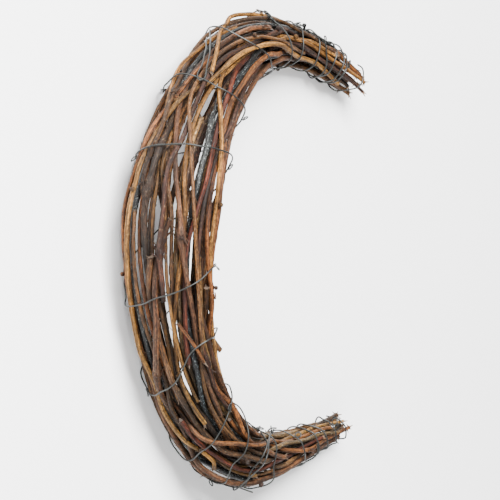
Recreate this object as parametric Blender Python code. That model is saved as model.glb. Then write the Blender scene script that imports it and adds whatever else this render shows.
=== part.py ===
"""Crescent wreath: a C-shaped bundle of vine canes bound with dark wire.

It lies on its back. +Z is its front, +Y its upper horn, +X its open side.
Lengths here are in millimetres; the meshes are written in metres.
"""
import math
import random

import bpy
import numpy as np

# The crescent: polar angle in degrees, axis radius and half width of the bundle
ARC_DEG = (44, 50, 62, 75, 88, 102, 118, 140, 172, 205, 230, 255, 270, 285, 300, 312, 320)
AXIS_RADIUS = (200, 191.5, 180.5, 174.5, 171.5, 172.5, 176, 179.5, 182, 172.5, 174.5, 176,
               171.5, 171, 177.5, 193, 209)
HALF_WIDTH = (15, 13.5, 14.5, 16, 19.5, 25, 30.5, 37, 42, 34.5, 30.5, 29, 22.5, 17, 13.5, 11, 11)
ARC_START = 49.0
ARC_END = 314.5
VIEW = (0.829, 0.020, -0.559)

# How the canes are built and settled
STATIONS = 33
SIDES = 5
CLEARANCE = 0.30
SETTLE_ROUNDS = 900
CLEARING_ROUNDS = 160
HORN_THINNING = 0.30
LAYER = 4.2
PROUD = 0.13
STRAY = 0.5
SEED = 11

# The wire and the floor
WIRE_RADIUS = 0.65
WIRE_STEP_DEG = 24.0
WIRE_LIFT = 1.7
WIRE_ROUNDS = 120
WIRE_SLACK = 1.6
SLACK_FROM = 140
SLACK_TO = 620
FLOOR_GAP = 1.75

# Bark colours, sRGB
BARKS = {
    "tan": (0.71, 0.50, 0.31),
    "orange": (0.66, 0.39, 0.22),
    "red": (0.56, 0.27, 0.17),
    "rosy": (0.50, 0.31, 0.24),
    "brown": (0.47, 0.33, 0.24),
    "umber": (0.36, 0.26, 0.20),
    "plum": (0.33, 0.21, 0.20),
    "dark": (0.28, 0.22, 0.19),
    "grey": (0.35, 0.34, 0.33),
    "pale": (0.63, 0.51, 0.39),
}
WIRE_COLOUR = (0.23, 0.21, 0.22)

# Canes seen from the front: bark, radius, first and last place along the axis,
# layer below the surface, route as (place along the axis, place across)
FRONT_CANES = (
    ("tan", 2.0, 0, 560, 0.3, ((178, .13), (210, .13), (230, .10), (250, .06), (290, .05),
     (330, .03), (350, .07), (370, .19), (390, .30), (405, .34), (420, .31), (440, .21),
     (460, .09), (480, .01), (500, -.08), (515, -.10))),
    ("tan", 2.2, 20, 640, 0, ((190, .22), (220, .20), (240, .12), (262, 0), (280, -.12),
     (300, -.38), (320, -.55), (340, -.67), (360, -.76), (380, -.78), (420, -.80), (450, -.86),
     (480, -.93))),
    ("tan", 1.7, 200, 540, 0.4, ((290, -.78), (315, -.62), (335, -.42), (350, -.34),
     (370, -.32), (390, -.27), (420, -.30), (440, -.22), (450, -.20))),
    ("tan", 1.7, 300, 540, 0.3, ((345, -.40), (368, -.27), (380, -.13), (400, -.05),
     (440, -.04), (470, -.01))),
    ("brown", 1.9, 180, 600, 0.9, ((345, -.32), (360, -.20), (380, -.03), (400, .03),
     (430, .12), (480, .12))),
    ("rosy", 2.4, 170, 560, 0, ((290, -.62), (305, -.48), (320, -.37), (340, -.20),
     (360, -.02), (380, .15), (400, .25), (420, .36), (440, .43), (470, .45), (490, .50),
     (510, .62))),
    ("red", 2.1, 0, 520, 0.4, ((285, .50), (310, .55), (330, .62), (350, .64), (370, .60),
     (390, .50), (410, .41), (430, .37))),
    ("brown", 1.7, 100, 640, 0, ((305, -.35), (320, -.15), (335, .07), (350, .25), (370, .40),
     (390, .50), (410, .60), (430, .65), (460, .68), (480, .66))),
    ("tan", 1.9, 40, 700, 0.2, ((275, .08), (290, .22), (300, .40), (310, .54), (320, .68),
     (340, .80), (360, .88), (380, .92), (420, .90))),
    ("orange", 2.4, 0, 640, 0.2, ((60, -.85), (78, -.7), (95, -.48), (110, -.22), (125, .06),
     (140, .27), (160, .40), (180, .44), (210, .42), (230, .52), (250, .58), (270, .64),
     (290, .68), (310, .73), (330, .85), (350, .90), (390, .97), (430, .97))),
    ("rosy", 2.4, 0, 640, 0, ((40, .0), (60, .35), (80, .62), (110, .6), (150, .58),
     (180, .72), (200, .80), (240, .86), (280, .90), (320, .93), (360, .99))),
    ("plum", 2.0, 0, 580, 0.2, ((165, .05), (180, .22), (195, .45), (210, .62), (230, .70),
     (260, .76), (300, .80))),
    ("plum", 2.4, 88, 470, 0, ((90, -1.12), (97, -.98), (110, -.75), (130, -.55), (150, -.37),
     (170, -.20), (190, -.05), (205, .02), (220, .03))),
    ("grey", 2.7, 40, 690, 0.5, ((170, -.48), (200, -.54), (230, -.55), (260, -.59),
     (290, -.57), (350, -.65), (390, -.65), (430, -.72), (460, -.75), (490, -.76),
     (520, -.745), (540, -.73))),
    ("grey", 2.4, 0, 600, 0.4, ((110, -.40), (140, -.20), (160, -.09), (180, .02), (200, .12),
     (230, .30), (260, .41), (290, .47), (320, .49), (350, .50), (380, .49))),
    ("orange", 1.9, 240, 800, 0, ((380, -.94), (420, -.91), (440, -.88), (480, -.87),
     (520, -.86), (540, -.82), (558, -.62), (571, -.10), (580, .20), (598, .48), (617, .66),
     (635, .76))),
    ("dark", 3.0, 60, 828, 0.2, ((350, -.52), (380, -.56), (400, -.52), (420, -.44),
     (440, -.38), (460, -.32), (480, -.29), (500, -.22), (520, -.13), (550, -.05),
     (570, -.02), (600, .12), (630, .34), (660, .55), (690, .62))),
    ("orange", 2.2, 340, 700, 0, ((440, .92), (480, .88), (520, .88), (550, .86), (575, .87),
     (588, .76), (596, .58), (605, .40))),
    ("pale", 2.6, 330, 760, 0.3, ((430, .78), (460, .77), (480, .72), (510, .75), (530, .75),
     (560, .70))),
    ("orange", 1.4, 462, 506, -0.4, ((462, .04), (475, .20), (490, .48), (506, .68))),
    ("rosy", 2.6, 400, 828, 0, ((470, -.36), (490, -.47), (510, -.58), (525, -.63),
     (545, -.70), (600, -.74), (660, -.66), (700, -.70), (730, -.75))),
    ("brown", 1.8, 380, 660, 0.5, ((430, -.66), (460, -.67), (480, -.57), (500, -.48))),
    ("orange", 2.0, 300, 600, 0.7, ((400, -.60), (430, -.57), (460, -.50), (478, -.43))),
    ("pale", 2.4, 300, 828, 0.4, ((470, .08), (490, .17), (510, .27), (530, .36), (550, .43),
     (570, .48))),
    ("brown", 2.3, 360, 740, 0.4, ((480, .25), (500, .35), (520, .47), (540, .57), (560, .62),
     (590, .55), (620, .30), (650, -.05), (680, -.40), (705, -.62))),
    ("umber", 2.6, 420, 720, 0.1, ((520, -.27), (550, -.28), (570, -.23), (590, -.08),
     (610, .20), (625, .38))),
    ("tan", 2.0, 580, 632, -0.2, ((588, -.33), (600, -.55), (615, -.85), (632, -1.0))),
    ("tan", 1.9, 560, 828, 0.3, ((585, -.40), (605, -.36), (625, -.20), (650, .10), (680, .50),
     (705, .78))),
    ("orange", 2.2, 560, 828, 0, ((655, .50), (680, .25), (700, .08), (720, -.15), (740, -.45),
     (760, -.68))),
    ("red", 1.9, 540, 780, 0.2, ((650, -.10), (680, -.05), (700, -.05), (720, -.15),
     (745, -.18))),
    ("tan", 1.9, 120, 276, -0.5, ((150, -.90), (170, -.97), (190, -1.06), (204, -1.12),
     (228, -.86), (250, -.48), (276, -.08))),
    ("umber", 1.9, 60, 400, 0, ((180, -.80), (215, -.93), (235, -.98), (247, -1.04),
     (268, -.80), (290, -.62), (320, -.52))),
    ("umber", 2.3, 430, 516, 0, ((450, .80), (480, .90), (500, 1.02), (516, 1.12))),
    ("rosy", 2.0, 480, 624, 0, ((540, -.90), (570, -.93), (590, -.98), (610, -1.04),
     (624, -1.08))),
    ("pale", 2.0, 600, 828, 0, ((700, .55), (720, .40), (740, .22), (760, .08), (800, .05))),
)

# Canes at the back and inside follow a seeded rule
BACK_CANES = 14
INNER_CANES = 6
BACK_FROM_DEG = 100.0
BACK_TO_DEG = 262.0
BACK_STARTS = (0, 12, 30, 0, 60, 20, 90)
BACK_TRIMS = (0, 90, 40, 150, 15, 70, 120)
INNER_STARTS = (0, 25, 60, 10, 100, 130)
INNER_TRIMS = (130, 30, 90, 60, 150, 10)
BACK_RADII = (2.0, 2.9)
BACK_BARKS = ("umber", "brown", "grey", "rosy", "dark", "plum", "tan")

# Places where light shows through the bundle: along, across, half width
WINDOWS = ((268, .20, 1.6), (313, .42, 1.3), (334, -.12, 1.5), (350, -.22, 1.2),
           (360, -.12, 1.3), (382, -.24, 2.0), (397, -.20, 2.4), (398, -.62, 1.3),
           (425, -.10, 1.8), (425, .47, 1.2), (435, -.60, 1.3), (465, -.25, 1.3),
           (520, .01, 1.3), (600, -.58, 1.5), (610, -.78, 1.5), (650, .02, 1.5))

# Turns of the binding wire: place along the axis at the outer side, front and inner side
WIRE_TURNS = ((13, 16, 24), (39, 45, 46), (61, 62, 64), (90, 95, 92), (119, 130, 128),
              (173, 164, 156), (226, 229, 190), (293, 288, 284), (351, 344, 337),
              (450, 443, 434), (526, 512, 493), (590, 573, 558), (622, 606, 588),
              (637, 629, 634), (672, 661, 650), (740, 722, 712), (760, 757, 752),
              (779, 771, 766), (799, 790, 794), (812, 810, 808))
# Other wires as (place along, angle round the bundle); 0 faces the front, 90 the open side
TOP_WIRE = ((107, -60), (88, -30), (75, 0), (66, 50), (60, 100), (56, 180), (52, 260),
            (50, 360), (47, 430), (45, 470))
LOW_WIRE = ((676, -98, 5), (664, -88, 3), (648, -80), (636, -58), (631, -20), (632, 12),
            (639.2, 26), (656, 38), (676, 50), (700, 62), (720, 110), (738, 180), (754, 250),
            (757, 300), (752, 345))
LOOSE_WIRE = ((236, -62), (246, -47), (256, -33), (267, -22), (278, -14), (288, -9), (292, -13),
              (288, -18), (277, -22), (266, -29), (255, -40), (244, -53))

# Knots on the outer canes; some of them carry a side shoot
KNOTS = 30
KNOT_SWELL = 1.42
KNOT_SPAN = 5.0
SHOOT_EVERY = 2
SHOOT_LENGTH = (3.0, 6.5)
SHOOT_TAPER = 0.86
CHOSEN_KNOTS = ((376, -34), (405, 88), (430, -92), (462, 20), (506, 92), (548, -40), (212, -20))

# Three knots on the underside are worn flat and carry the wreath
REST_PLACES = (148, 398, 655)
REST_HALF_LENGTH = 4.0
REST_HALF_WIDTH = 1.6

# Cut ends
END_TRIM = (0.05, 0.55)


def spline(x, xs, ys):
    """Value at x of a smooth curve through the points (xs, ys)."""
    last = len(xs) - 1
    i = 0
    while i < last - 1 and xs[i + 1] <= x:
        i += 1
    span = xs[i + 1] - xs[i]
    t = (x - xs[i]) / span

    def slope(j):
        before = max(j - 1, 0)
        after = min(j + 1, last)
        return (ys[after] - ys[before]) / (xs[after] - xs[before]) * span

    t2 = t * t
    t3 = t2 * t
    start = (2 * t3 - 3 * t2 + 1) * ys[i] + (t3 - 2 * t2 + t) * slope(i)
    return start + (3 * t2 - 2 * t3) * ys[i + 1] + (t3 - t2) * slope(i + 1)


def cosine(degrees):
    return round(math.cos(math.radians(degrees)), 9)


def sine(degrees):
    return round(math.sin(math.radians(degrees)), 9)


class Crescent:
    """The curved axis of the bundle, measured along its length."""

    SAMPLES = 1200

    def __init__(self):
        self.x = []
        self.y = []
        self.half = []
        for i in range(self.SAMPLES + 1):
            angle = ARC_START + (ARC_END - ARC_START) * i / self.SAMPLES
            radius = spline(angle, ARC_DEG, AXIS_RADIUS)
            self.x.append(radius * cosine(angle))
            self.y.append(radius * sine(angle))
            self.half.append(spline(angle, ARC_DEG, HALF_WIDTH))
        self.along = [0.0]
        for i in range(self.SAMPLES):
            dx = self.x[i + 1] - self.x[i]
            dy = self.y[i + 1] - self.y[i]
            self.along.append(self.along[-1] + math.sqrt(dx * dx + dy * dy))
        self.length = self.along[-1]

    def value(self, samples, place):
        return float(np.interp(place, self.along, samples))

    def frame(self, place):
        """Centre, outward normal and half width at a place along the axis."""
        reach = 3.0
        dx = self.value(self.x, place + reach) - self.value(self.x, place - reach)
        dy = self.value(self.y, place + reach) - self.value(self.y, place - reach)
        size = math.sqrt(dx * dx + dy * dy)
        centre = (self.value(self.x, place), self.value(self.y, place))
        return centre, (dy / size, -dx / size), self.value(self.half, place)


def facing(normal):
    """Direction in the section that looks at the viewer: outward part, upward part."""
    out = -(normal[0] * VIEW[0] + normal[1] * VIEW[1])
    up = -VIEW[2]
    size = math.sqrt(out * out + up * up)
    return out / size, up / size


def section_point(crescent, place, across, depth):
    """World point from a place along the axis and two section coordinates."""
    (x, y), (nx, ny), half = crescent.frame(place)
    out, up = facing((nx, ny))
    u = -up * across + out * depth
    v = out * across + up * depth
    return (x + u * nx, y + u * ny, half + v)


class Bundle:
    """All canes, each as ring centres on the shared stations."""

    def __init__(self, crescent):
        self.crescent = crescent
        self.step = crescent.length / (STATIONS - 1)
        self.frames = [crescent.frame(k * self.step) for k in range(STATIONS)]
        self.half = np.array([frame[2] for frame in self.frames])
        looks = [facing(frame[1]) for frame in self.frames]
        self.up_across = np.array([look[0] for look in looks])
        self.up_depth = np.array([look[1] for look in looks])
        self.barks = []
        self.spans = []
        radii = []
        across = []
        depth = []
        held = []
        for row in self.front_rows() + self.back_rows():
            bark, radius, first, last, route = row
            self.barks.append(bark)
            radii.append(radius)
            low = int(round(max(first, 0) / self.step))
            high = int(round(min(last, crescent.length) / self.step))
            self.spans.append((low, max(high, low + 2)))
            across.append([point[0] for point in route])
            depth.append([point[1] for point in route])
            held.append([point[2] for point in route])
        self.count = len(radii)
        self.across = np.array(across)
        self.depth = np.array(depth)
        self.held = np.array(held)
        thin = np.minimum(1.0, 1.0 - HORN_THINNING * (1.0 - (self.half - 7.0) / 13.0))
        self.radius = np.array(radii)[:, None] * thin[None, :]
        self.present = np.zeros((self.count, STATIONS))
        for i, (low, high) in enumerate(self.spans):
            self.present[i, low:high + 1] = 1.0

    def front_rows(self):
        rng = random.Random(SEED + 3)
        rows = []
        for bark, radius, first, last, layer, points in FRONT_CANES:
            places = [point[0] for point in points]
            widths = [point[1] for point in points]
            strays = [rng.uniform(-STRAY, STRAY) for _ in range(2)]
            route = []
            for k in range(STATIONS):
                place = k * self.step
                reach = self.half[k] - radius
                if places[0] - 14 <= place <= places[-1] + 14:
                    width = spline(min(max(place, places[0]), places[-1]), places, widths)
                    weight = 1.0
                else:
                    before = place < places[0]
                    width = widths[0] if before else widths[-1]
                    away = places[0] - place if before else place - places[-1]
                    away = min(away / 150.0, 1.0)
                    width = max(-0.85, min(0.85, width)) * (1 - 0.3 * away)
                    width += strays[0 if before else 1] * away
                    width = max(-0.95, min(0.95, width))
                    weight = 0.0
                side = width * reach
                if abs(width) >= 1:
                    side = width * self.half[k] - math.copysign(radius, width)
                top = math.sqrt(max(1 - width * width, 0.02)) * reach - layer * LAYER
                route.append((side, top, weight))
            rows.append((bark, radius, first, last, route))
        return rows

    def back_rows(self):
        rng = random.Random(SEED)
        rows = []
        for i in range(BACK_CANES + INNER_CANES):
            back = i < BACK_CANES
            if back:
                angle = BACK_FROM_DEG + (i + 0.5) * (BACK_TO_DEG - BACK_FROM_DEG) / BACK_CANES
                first = BACK_STARTS[i % len(BACK_STARTS)]
                trim = BACK_TRIMS[i % len(BACK_TRIMS)]
                reach = 0.98
            else:
                angle = 20 + (i - BACK_CANES) * 60
                first = INNER_STARTS[(i - BACK_CANES) % len(INNER_STARTS)]
                trim = INNER_TRIMS[(i - BACK_CANES) % len(INNER_TRIMS)]
                reach = 0.5
            drift = rng.uniform(-34, 34)
            bends = [rng.uniform(-12, 12) for _ in range(5)]
            bark = rng.choice(BACK_BARKS)
            radius = rng.uniform(*BACK_RADII)
            marks = [self.crescent.length * j / 4 for j in range(5)]
            angles = [angle + drift * (j / 2 - 1) + bends[j] for j in range(5)]
            route = []
            for k in range(STATIONS):
                turned = spline(k * self.step, marks, angles)
                far = (self.half[k] - radius) * reach
                route.append((sine(turned) * far, cosine(turned) * far, 0.0))
            rows.append((bark, radius, first, self.crescent.length - trim, route))
        return rows

    def settle(self):
        """Push crossing canes apart while they keep to their routes."""
        rng = random.Random(SEED + 1)
        shape = (self.count, STATIONS)
        goal_across = self.across
        goal_depth = self.depth
        shake = np.array([[rng.uniform(-.3, .3) for _ in range(2 * STATIONS)]
                          for _ in range(self.count)])
        g = goal_across + shake[:, :STATIONS]
        q = goal_depth + shake[:, STATIONS:]
        both = self.present[:, :-1] * self.present[:, 1:]
        pairs = both[:, None, :] * both[None, :, :]
        for i in range(self.count):
            pairs[i, i, :] = 0.0
        mean_radius = 0.5 * (self.radius[:, :-1] + self.radius[:, 1:])
        reach = mean_radius[:, None, :] + mean_radius[None, :, :] + CLEARANCE + 0.06
        inner = self.present[:, 1:-1] * self.present[:, :-2] * self.present[:, 2:]
        for turn in range(SETTLE_ROUNDS):
            late = turn / SETTLE_ROUNDS
            soft = 1.0 if late < 0.7 else max(0.0, (0.93 - late) / 0.23)
            self.separate(g, q, reach, pairs, shape)
            if soft > 0:
                for line, goal in ((g, goal_across), (q, goal_depth)):
                    bow = 0.5 * (line[:, 2:] + line[:, :-2]) - line[:, 1:-1]
                    ease = 1 - 0.6 * self.held[:, 1:-1]
                    line[:, 1:-1] += 0.16 * soft * inner * bow * ease
                g += soft * (0.10 * self.held + 0.004 * (1 - self.held)) * (goal_across - g)
                q += soft * (0.05 * self.held + 0.004 * (1 - self.held)) * (goal_depth - q)
                self.keep_windows(g, soft)
            self.keep_inside(g, q, 0.5 if late < 0.9 else 0.1)
        self.g = g
        self.q = q

    def separate(self, g, q, reach, pairs, shape):
        dg = g[:, None, :] - g[None, :, :]
        dq = q[:, None, :] - q[None, :, :]
        run_g = dg[:, :, 1:] - dg[:, :, :-1]
        run_q = dq[:, :, 1:] - dq[:, :, :-1]
        size = run_g * run_g + run_q * run_q + 1e-9
        t = -(dg[:, :, :-1] * run_g + dq[:, :, :-1] * run_q) / size
        t = np.minimum(np.maximum(t, 0.0), 1.0)
        near_g = dg[:, :, :-1] + t * run_g
        near_q = dq[:, :, :-1] + t * run_q
        apart = np.sqrt(near_g * near_g + near_q * near_q) + 1e-6
        near_g = near_g / apart
        near_q = near_q / apart
        slope_g = (g[:, 1:] - g[:, :-1]) / self.step
        slope_q = (q[:, 1:] - q[:, :-1]) / self.step
        lean_a = near_g * slope_g[:, None, :] + near_q * slope_q[:, None, :]
        lean_b = near_g * slope_g[None, :, :] + near_q * slope_q[None, :, :]
        lean = np.minimum(np.maximum(lean_a * lean_a, lean_b * lean_b), 2.0)
        over = np.maximum(reach * np.sqrt(1.0 + lean) - apart, 0.0) * pairs
        touch = np.where(over > 0, 1.0, 0.0)
        part = over / (2.0 * ((1 - t) * (1 - t) + t * t))
        first = part * (1 - t)
        second = part * t
        move_g = np.zeros(shape)
        move_q = np.zeros(shape)
        count = np.zeros(shape)
        move_g[:, :-1] += (first * near_g).sum(axis=1)
        move_q[:, :-1] += (first * near_q).sum(axis=1)
        count[:, :-1] += (touch * (1 - t)).sum(axis=1)
        move_g[:, 1:] += (second * near_g).sum(axis=1)
        move_q[:, 1:] += (second * near_q).sum(axis=1)
        count[:, 1:] += (touch * t).sum(axis=1)
        share = 1.0 / np.maximum(1.0, count * 0.55)
        g += move_g * share
        q += move_q * share

    def keep_windows(self, g, soft):
        for place, across, half in WINDOWS:
            k = int(place // self.step)
            t = place / self.step - k
            centre = across * (self.half[k] * (1 - t) + self.half[k + 1] * t)
            here = g[:, k] * (1 - t) + g[:, k + 1] * t
            clear = 0.5 * (self.radius[:, k] + self.radius[:, k + 1]) + half
            gap = here - centre
            side = np.where(gap >= 0, 1.0, -1.0)
            push = np.where(np.abs(gap) < clear, side * (clear - np.abs(gap)), 0.0)
            push = 0.4 * soft * push * self.present[:, k] * self.present[:, k + 1]
            share = (1 - t) * (1 - t) + t * t
            g[:, k] += push * (1 - t) / share
            g[:, k + 1] += push * t / share

    def keep_inside(self, g, q, firmness):
        far = np.sqrt(g * g + q * q) + 1e-9
        limit = self.half[None, :] * (1.0 + PROUD * self.held) - self.radius
        inward = firmness * np.maximum(far - limit, 0.0) / far
        g -= g * inward
        q -= q * inward
        height = self.up_across[None, :] * g + self.up_depth[None, :] * q
        low = np.maximum(self.radius + FLOOR_GAP - self.half[None, :] - height, 0.0)
        g += low * self.up_across[None, :]
        q += low * self.up_depth[None, :]

    def place_in_space(self):
        """Ring centres as world points, shape (canes, stations, 3)."""
        points = np.zeros((self.count, STATIONS, 3))
        for k, ((x, y), (nx, ny), half) in enumerate(self.frames):
            out = -self.up_depth[k] * self.g[:, k] + self.up_across[k] * self.q[:, k]
            up = self.up_across[k] * self.g[:, k] + self.up_depth[k] * self.q[:, k]
            points[:, k, 0] = x + out * nx
            points[:, k, 1] = y + out * ny
            points[:, k, 2] = half + up
        self.points = points

    def clear_in_space(self):
        """Final pass on true distances between the straight runs of the canes."""
        normals = np.array([[frame[1][0], frame[1][1], 0.0] for frame in self.frames])
        for _ in range(CLEARING_ROUNDS):
            move = np.zeros_like(self.points)
            count = np.zeros((self.count, STATIONS))
            worst = 0.0
            for offset in (0, 1):
                worst = max(worst, self.clear_slabs(offset, move, count))
            share = 1.0 / np.maximum(1.0, 0.6 * count)
            move *= share[:, :, None]
            flat = move[:, :, 0] * normals[None, :, 0] + move[:, :, 1] * normals[None, :, 1]
            self.points[:, :, 0] += flat * normals[None, :, 0]
            self.points[:, :, 1] += flat * normals[None, :, 1]
            self.points[:, :, 2] += move[:, :, 2]
            floor = self.radius + FLOOR_GAP
            self.points[:, :, 2] = np.maximum(self.points[:, :, 2], floor)
            if worst <= 0.0:
                break

    def clear_slabs(self, offset, move, count):
        """Moves wanted between slab k of one cane and slab k + offset of another.

        Gives back the deepest overlap that was found.
        """
        slabs = STATIONS - 1 - offset
        on = self.present[:, :-1] * self.present[:, 1:]
        first = slice(0, slabs)
        second = slice(offset, offset + slabs)
        a0 = self.points[:, :-1][:, first][:, None]
        a1 = self.points[:, 1:][:, first][:, None]
        b0 = self.points[:, :-1][:, second][None, :]
        b1 = self.points[:, 1:][:, second][None, :]
        s, t = nearest(a0, a1, b0, b1)
        gap = (a0 + (a1 - a0) * s[..., None]) - (b0 + (b1 - b0) * t[..., None])
        apart = np.sqrt(gap[..., 0] ** 2 + gap[..., 1] ** 2 + gap[..., 2] ** 2) + 1e-9
        ra = self.radius[:, :-1][:, first][:, None] * (1 - s)
        ra = ra + self.radius[:, 1:][:, first][:, None] * s
        rb = self.radius[:, :-1][:, second][None, :] * (1 - t)
        rb = rb + self.radius[:, 1:][:, second][None, :] * t
        live = on[:, first][:, None] * on[:, second][None, :]
        for i in range(self.count):
            live[i, i] = 0.0
        over = (ra + rb + CLEARANCE - apart) * live
        worst = float(over.max()) - 0.015
        over = np.maximum(over + 0.02 * live, 0.0)
        touch = np.where(over > 0.02, 1.0, 0.0)
        gap = gap / apart[..., None]
        for slab, param, axis, sign, value in ((first, s, 1, 1.0, over), (second, t, 0, -1.0, over)):
            share = value / (2.0 * ((1 - param) ** 2 + param ** 2))
            low = (share * (1 - param))[..., None] * gap
            high = (share * param)[..., None] * gap
            start = slab.start
            move[:, start:start + slabs] += sign * low.sum(axis=axis)
            move[:, start + 1:start + 1 + slabs] += sign * high.sum(axis=axis)
            count[:, start:start + slabs] += (touch * (1 - param)).sum(axis=axis)
            count[:, start + 1:start + 1 + slabs] += (touch * param).sum(axis=axis)
        return worst


def dot(a, b):
    return a[..., 0] * b[..., 0] + a[..., 1] * b[..., 1] + a[..., 2] * b[..., 2]


def nearest(a0, a1, b0, b1):
    """Where two straight runs come closest, as fractions along each."""
    along_a = a1 - a0
    along_b = b1 - b0
    between = a0 - b0
    aa = dot(along_a, along_a) + 1e-12
    bb = dot(along_b, along_b) + 1e-12
    ab = dot(along_a, along_b)
    a_r = dot(along_a, between)
    b_r = dot(along_b, between)
    spread = np.maximum(aa * bb - ab * ab, 1e-9)
    s = np.minimum(np.maximum((ab * b_r - a_r * bb) / spread, 0.0), 1.0)
    t = np.minimum(np.maximum((ab * s + b_r) / bb, 0.0), 1.0)
    s = np.minimum(np.maximum((ab * t - a_r) / aa, 0.0), 1.0)
    return s, t


class Obstacles:
    """Straight runs with a radius, tested against points and other runs."""

    def __init__(self, starts, ends, start_radii, end_radii):
        self.starts = np.array(starts)
        self.ends = np.array(ends)
        self.start_radii = np.array(start_radii)
        self.end_radii = np.array(end_radii)

    def joined(self, other):
        return Obstacles(np.concatenate([self.starts, other.starts]),
                         np.concatenate([self.ends, other.ends]),
                         np.concatenate([self.start_radii, other.start_radii]),
                         np.concatenate([self.end_radii, other.end_radii]))

    def gaps(self, p0, p1):
        """For runs p0-p1 against every obstacle: free gap, direction, fraction."""
        a0 = p0[:, None]
        a1 = p1[:, None]
        s, t = nearest(a0, a1, self.starts[None], self.ends[None])
        away = (a0 + (a1 - a0) * s[..., None])
        away = away - (self.starts[None] + (self.ends - self.starts)[None] * t[..., None])
        apart = np.sqrt(dot(away, away)) + 1e-9
        radius = self.start_radii[None] * (1 - t) + self.end_radii[None] * t
        return apart - radius, away / apart[..., None], s

    def room(self, point):
        """Distance from a point to the nearest obstacle's surface."""
        spot = np.array([point])
        gap, _, _ = self.gaps(spot, spot)
        return float(gap.min())


def cane_obstacles(bundle, leave_out=-1):
    starts = []
    ends = []
    start_radii = []
    end_radii = []
    for i, (low, high) in enumerate(bundle.spans):
        if i == leave_out:
            continue
        for k in range(low, high):
            starts.append(bundle.points[i, k])
            ends.append(bundle.points[i, k + 1])
            start_radii.append(bundle.radius[i, k])
            end_radii.append(bundle.radius[i, k + 1])
    return Obstacles(starts, ends, start_radii, end_radii)


def section_of(bundle, place):
    """Section coordinates and radii of the canes present at a place."""
    k = min(int(place // bundle.step), STATIONS - 2)
    t = place / bundle.step - k
    (x, y), (nx, ny), half = bundle.crescent.frame(place)
    out, up = facing((nx, ny))
    found = []
    for i, (low, high) in enumerate(bundle.spans):
        if low <= k < high:
            p = bundle.points[i, k] * (1 - t) + bundle.points[i, k + 1] * t
            outward = (p[0] - x) * nx + (p[1] - y) * ny
            height = p[2] - half
            across = -up * outward + out * height
            depth = out * outward + up * height
            radius = bundle.radius[i, k] * (1 - t) + bundle.radius[i, k + 1] * t
            found.append((i, across, depth, radius))
    return found


def hull_reach(bundle, place, angle):
    """Distance from the axis to a thread drawn tight round the canes."""
    found = section_of(bundle, place)
    reach = 1e9
    for step in range(-7, 8):
        turned = angle + step * 10.0
        side = sine(turned)
        front = cosine(turned)
        support = max(a * side + d * front + r for _, a, d, r in found)
        reach = min(reach, support / cosine(step * 10.0))
    return reach


def wire_marks():
    """Places and angles of the main wire, turn after turn."""
    marks = []
    for turn, (outer, front, inner) in enumerate(WIRE_TURNS):
        marks.append((outer, 360.0 * turn - 90))
        marks.append((front, 360.0 * turn))
        slack = WIRE_SLACK if SLACK_FROM < inner < SLACK_TO else 0.3
        marks.append((inner, 360.0 * turn + 90, slack))
    return marks


def wire_path(bundle, marks, others):
    """Points of a wire drawn round the bundle through the given marks."""
    angles = [mark[1] for mark in marks]
    places = [mark[0] for mark in marks]
    proud = [mark[2] if len(mark) > 2 else 0.0 for mark in marks]
    steady = all(after > before for before, after in zip(angles, angles[1:]))
    run = angles if steady else [i * WIRE_STEP_DEG for i in range(len(marks))]
    count = max(3, int(round((run[-1] - run[0]) / WIRE_STEP_DEG)))
    points = []
    outward = []
    for i in range(count + 1):
        here = run[0] + (run[-1] - run[0]) * i / count
        angle = spline(here, run, angles)
        place = spline(here, run, places)
        reach = hull_reach(bundle, place, angle) + WIRE_RADIUS + CLEARANCE
        reach += spline(here, run, proud)
        spot = section_point(bundle.crescent, place, sine(angle) * reach, cosine(angle) * reach)
        if others is not None:
            near = others.room(spot)
            reach += WIRE_LIFT * min(1.0, max(0.0, (7.0 - near) / 4.0))
            spot = section_point(bundle.crescent, place, sine(angle) * reach,
                                 cosine(angle) * reach)
        points.append(spot)
        outward.append(section_direction(bundle, place, angle))
    return np.array(points), np.array(outward)


def clear_wire(path, obstacles):
    """Push the points of a wire outwards until its runs are clear."""
    points, outward = path
    need = WIRE_RADIUS + CLEARANCE
    for _ in range(WIRE_ROUNDS):
        gap, away, s = obstacles.gaps(points[:-1], points[1:])
        over = np.maximum(need + 0.01 - gap, 0.0)
        if float(over.max()) < 0.01:
            break
        deepest = over.argmax(axis=1)
        rows = np.arange(len(deepest))
        heading = away[rows, deepest] + 0.5 * (outward[:-1] + outward[1:])
        size = np.maximum(np.sqrt(dot(heading, heading)), 0.5)[:, None]
        step = over[rows, deepest][:, None] * heading / size
        part = s[rows, deepest][:, None]
        share = 1.0 / ((1 - part) ** 2 + part ** 2)
        points[:-1] += 0.7 * step * (1 - part) * share
        points[1:] += 0.7 * step * part * share
        points[:, 2] = np.maximum(points[:, 2], WIRE_RADIUS + 0.1)
    return points


def wire_obstacles(points):
    radii = [WIRE_RADIUS] * (len(points) - 1)
    return Obstacles(points[:-1], points[1:], radii, radii)


def unit(v):
    size = math.sqrt(dot3(v, v))
    return (v[0] / size, v[1] / size, v[2] / size)


def dot3(a, b):
    return a[0] * b[0] + a[1] * b[1] + a[2] * b[2]


def cross(a, b):
    return (a[1] * b[2] - a[2] * b[1], a[2] * b[0] - a[0] * b[2], a[0] * b[1] - a[1] * b[0])


def between(a, b, t):
    return tuple(float(a[i] + (b[i] - a[i]) * t) for i in range(3))


def moved(a, direction, distance):
    return tuple(float(a[i] + direction[i] * distance) for i in range(3))


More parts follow.
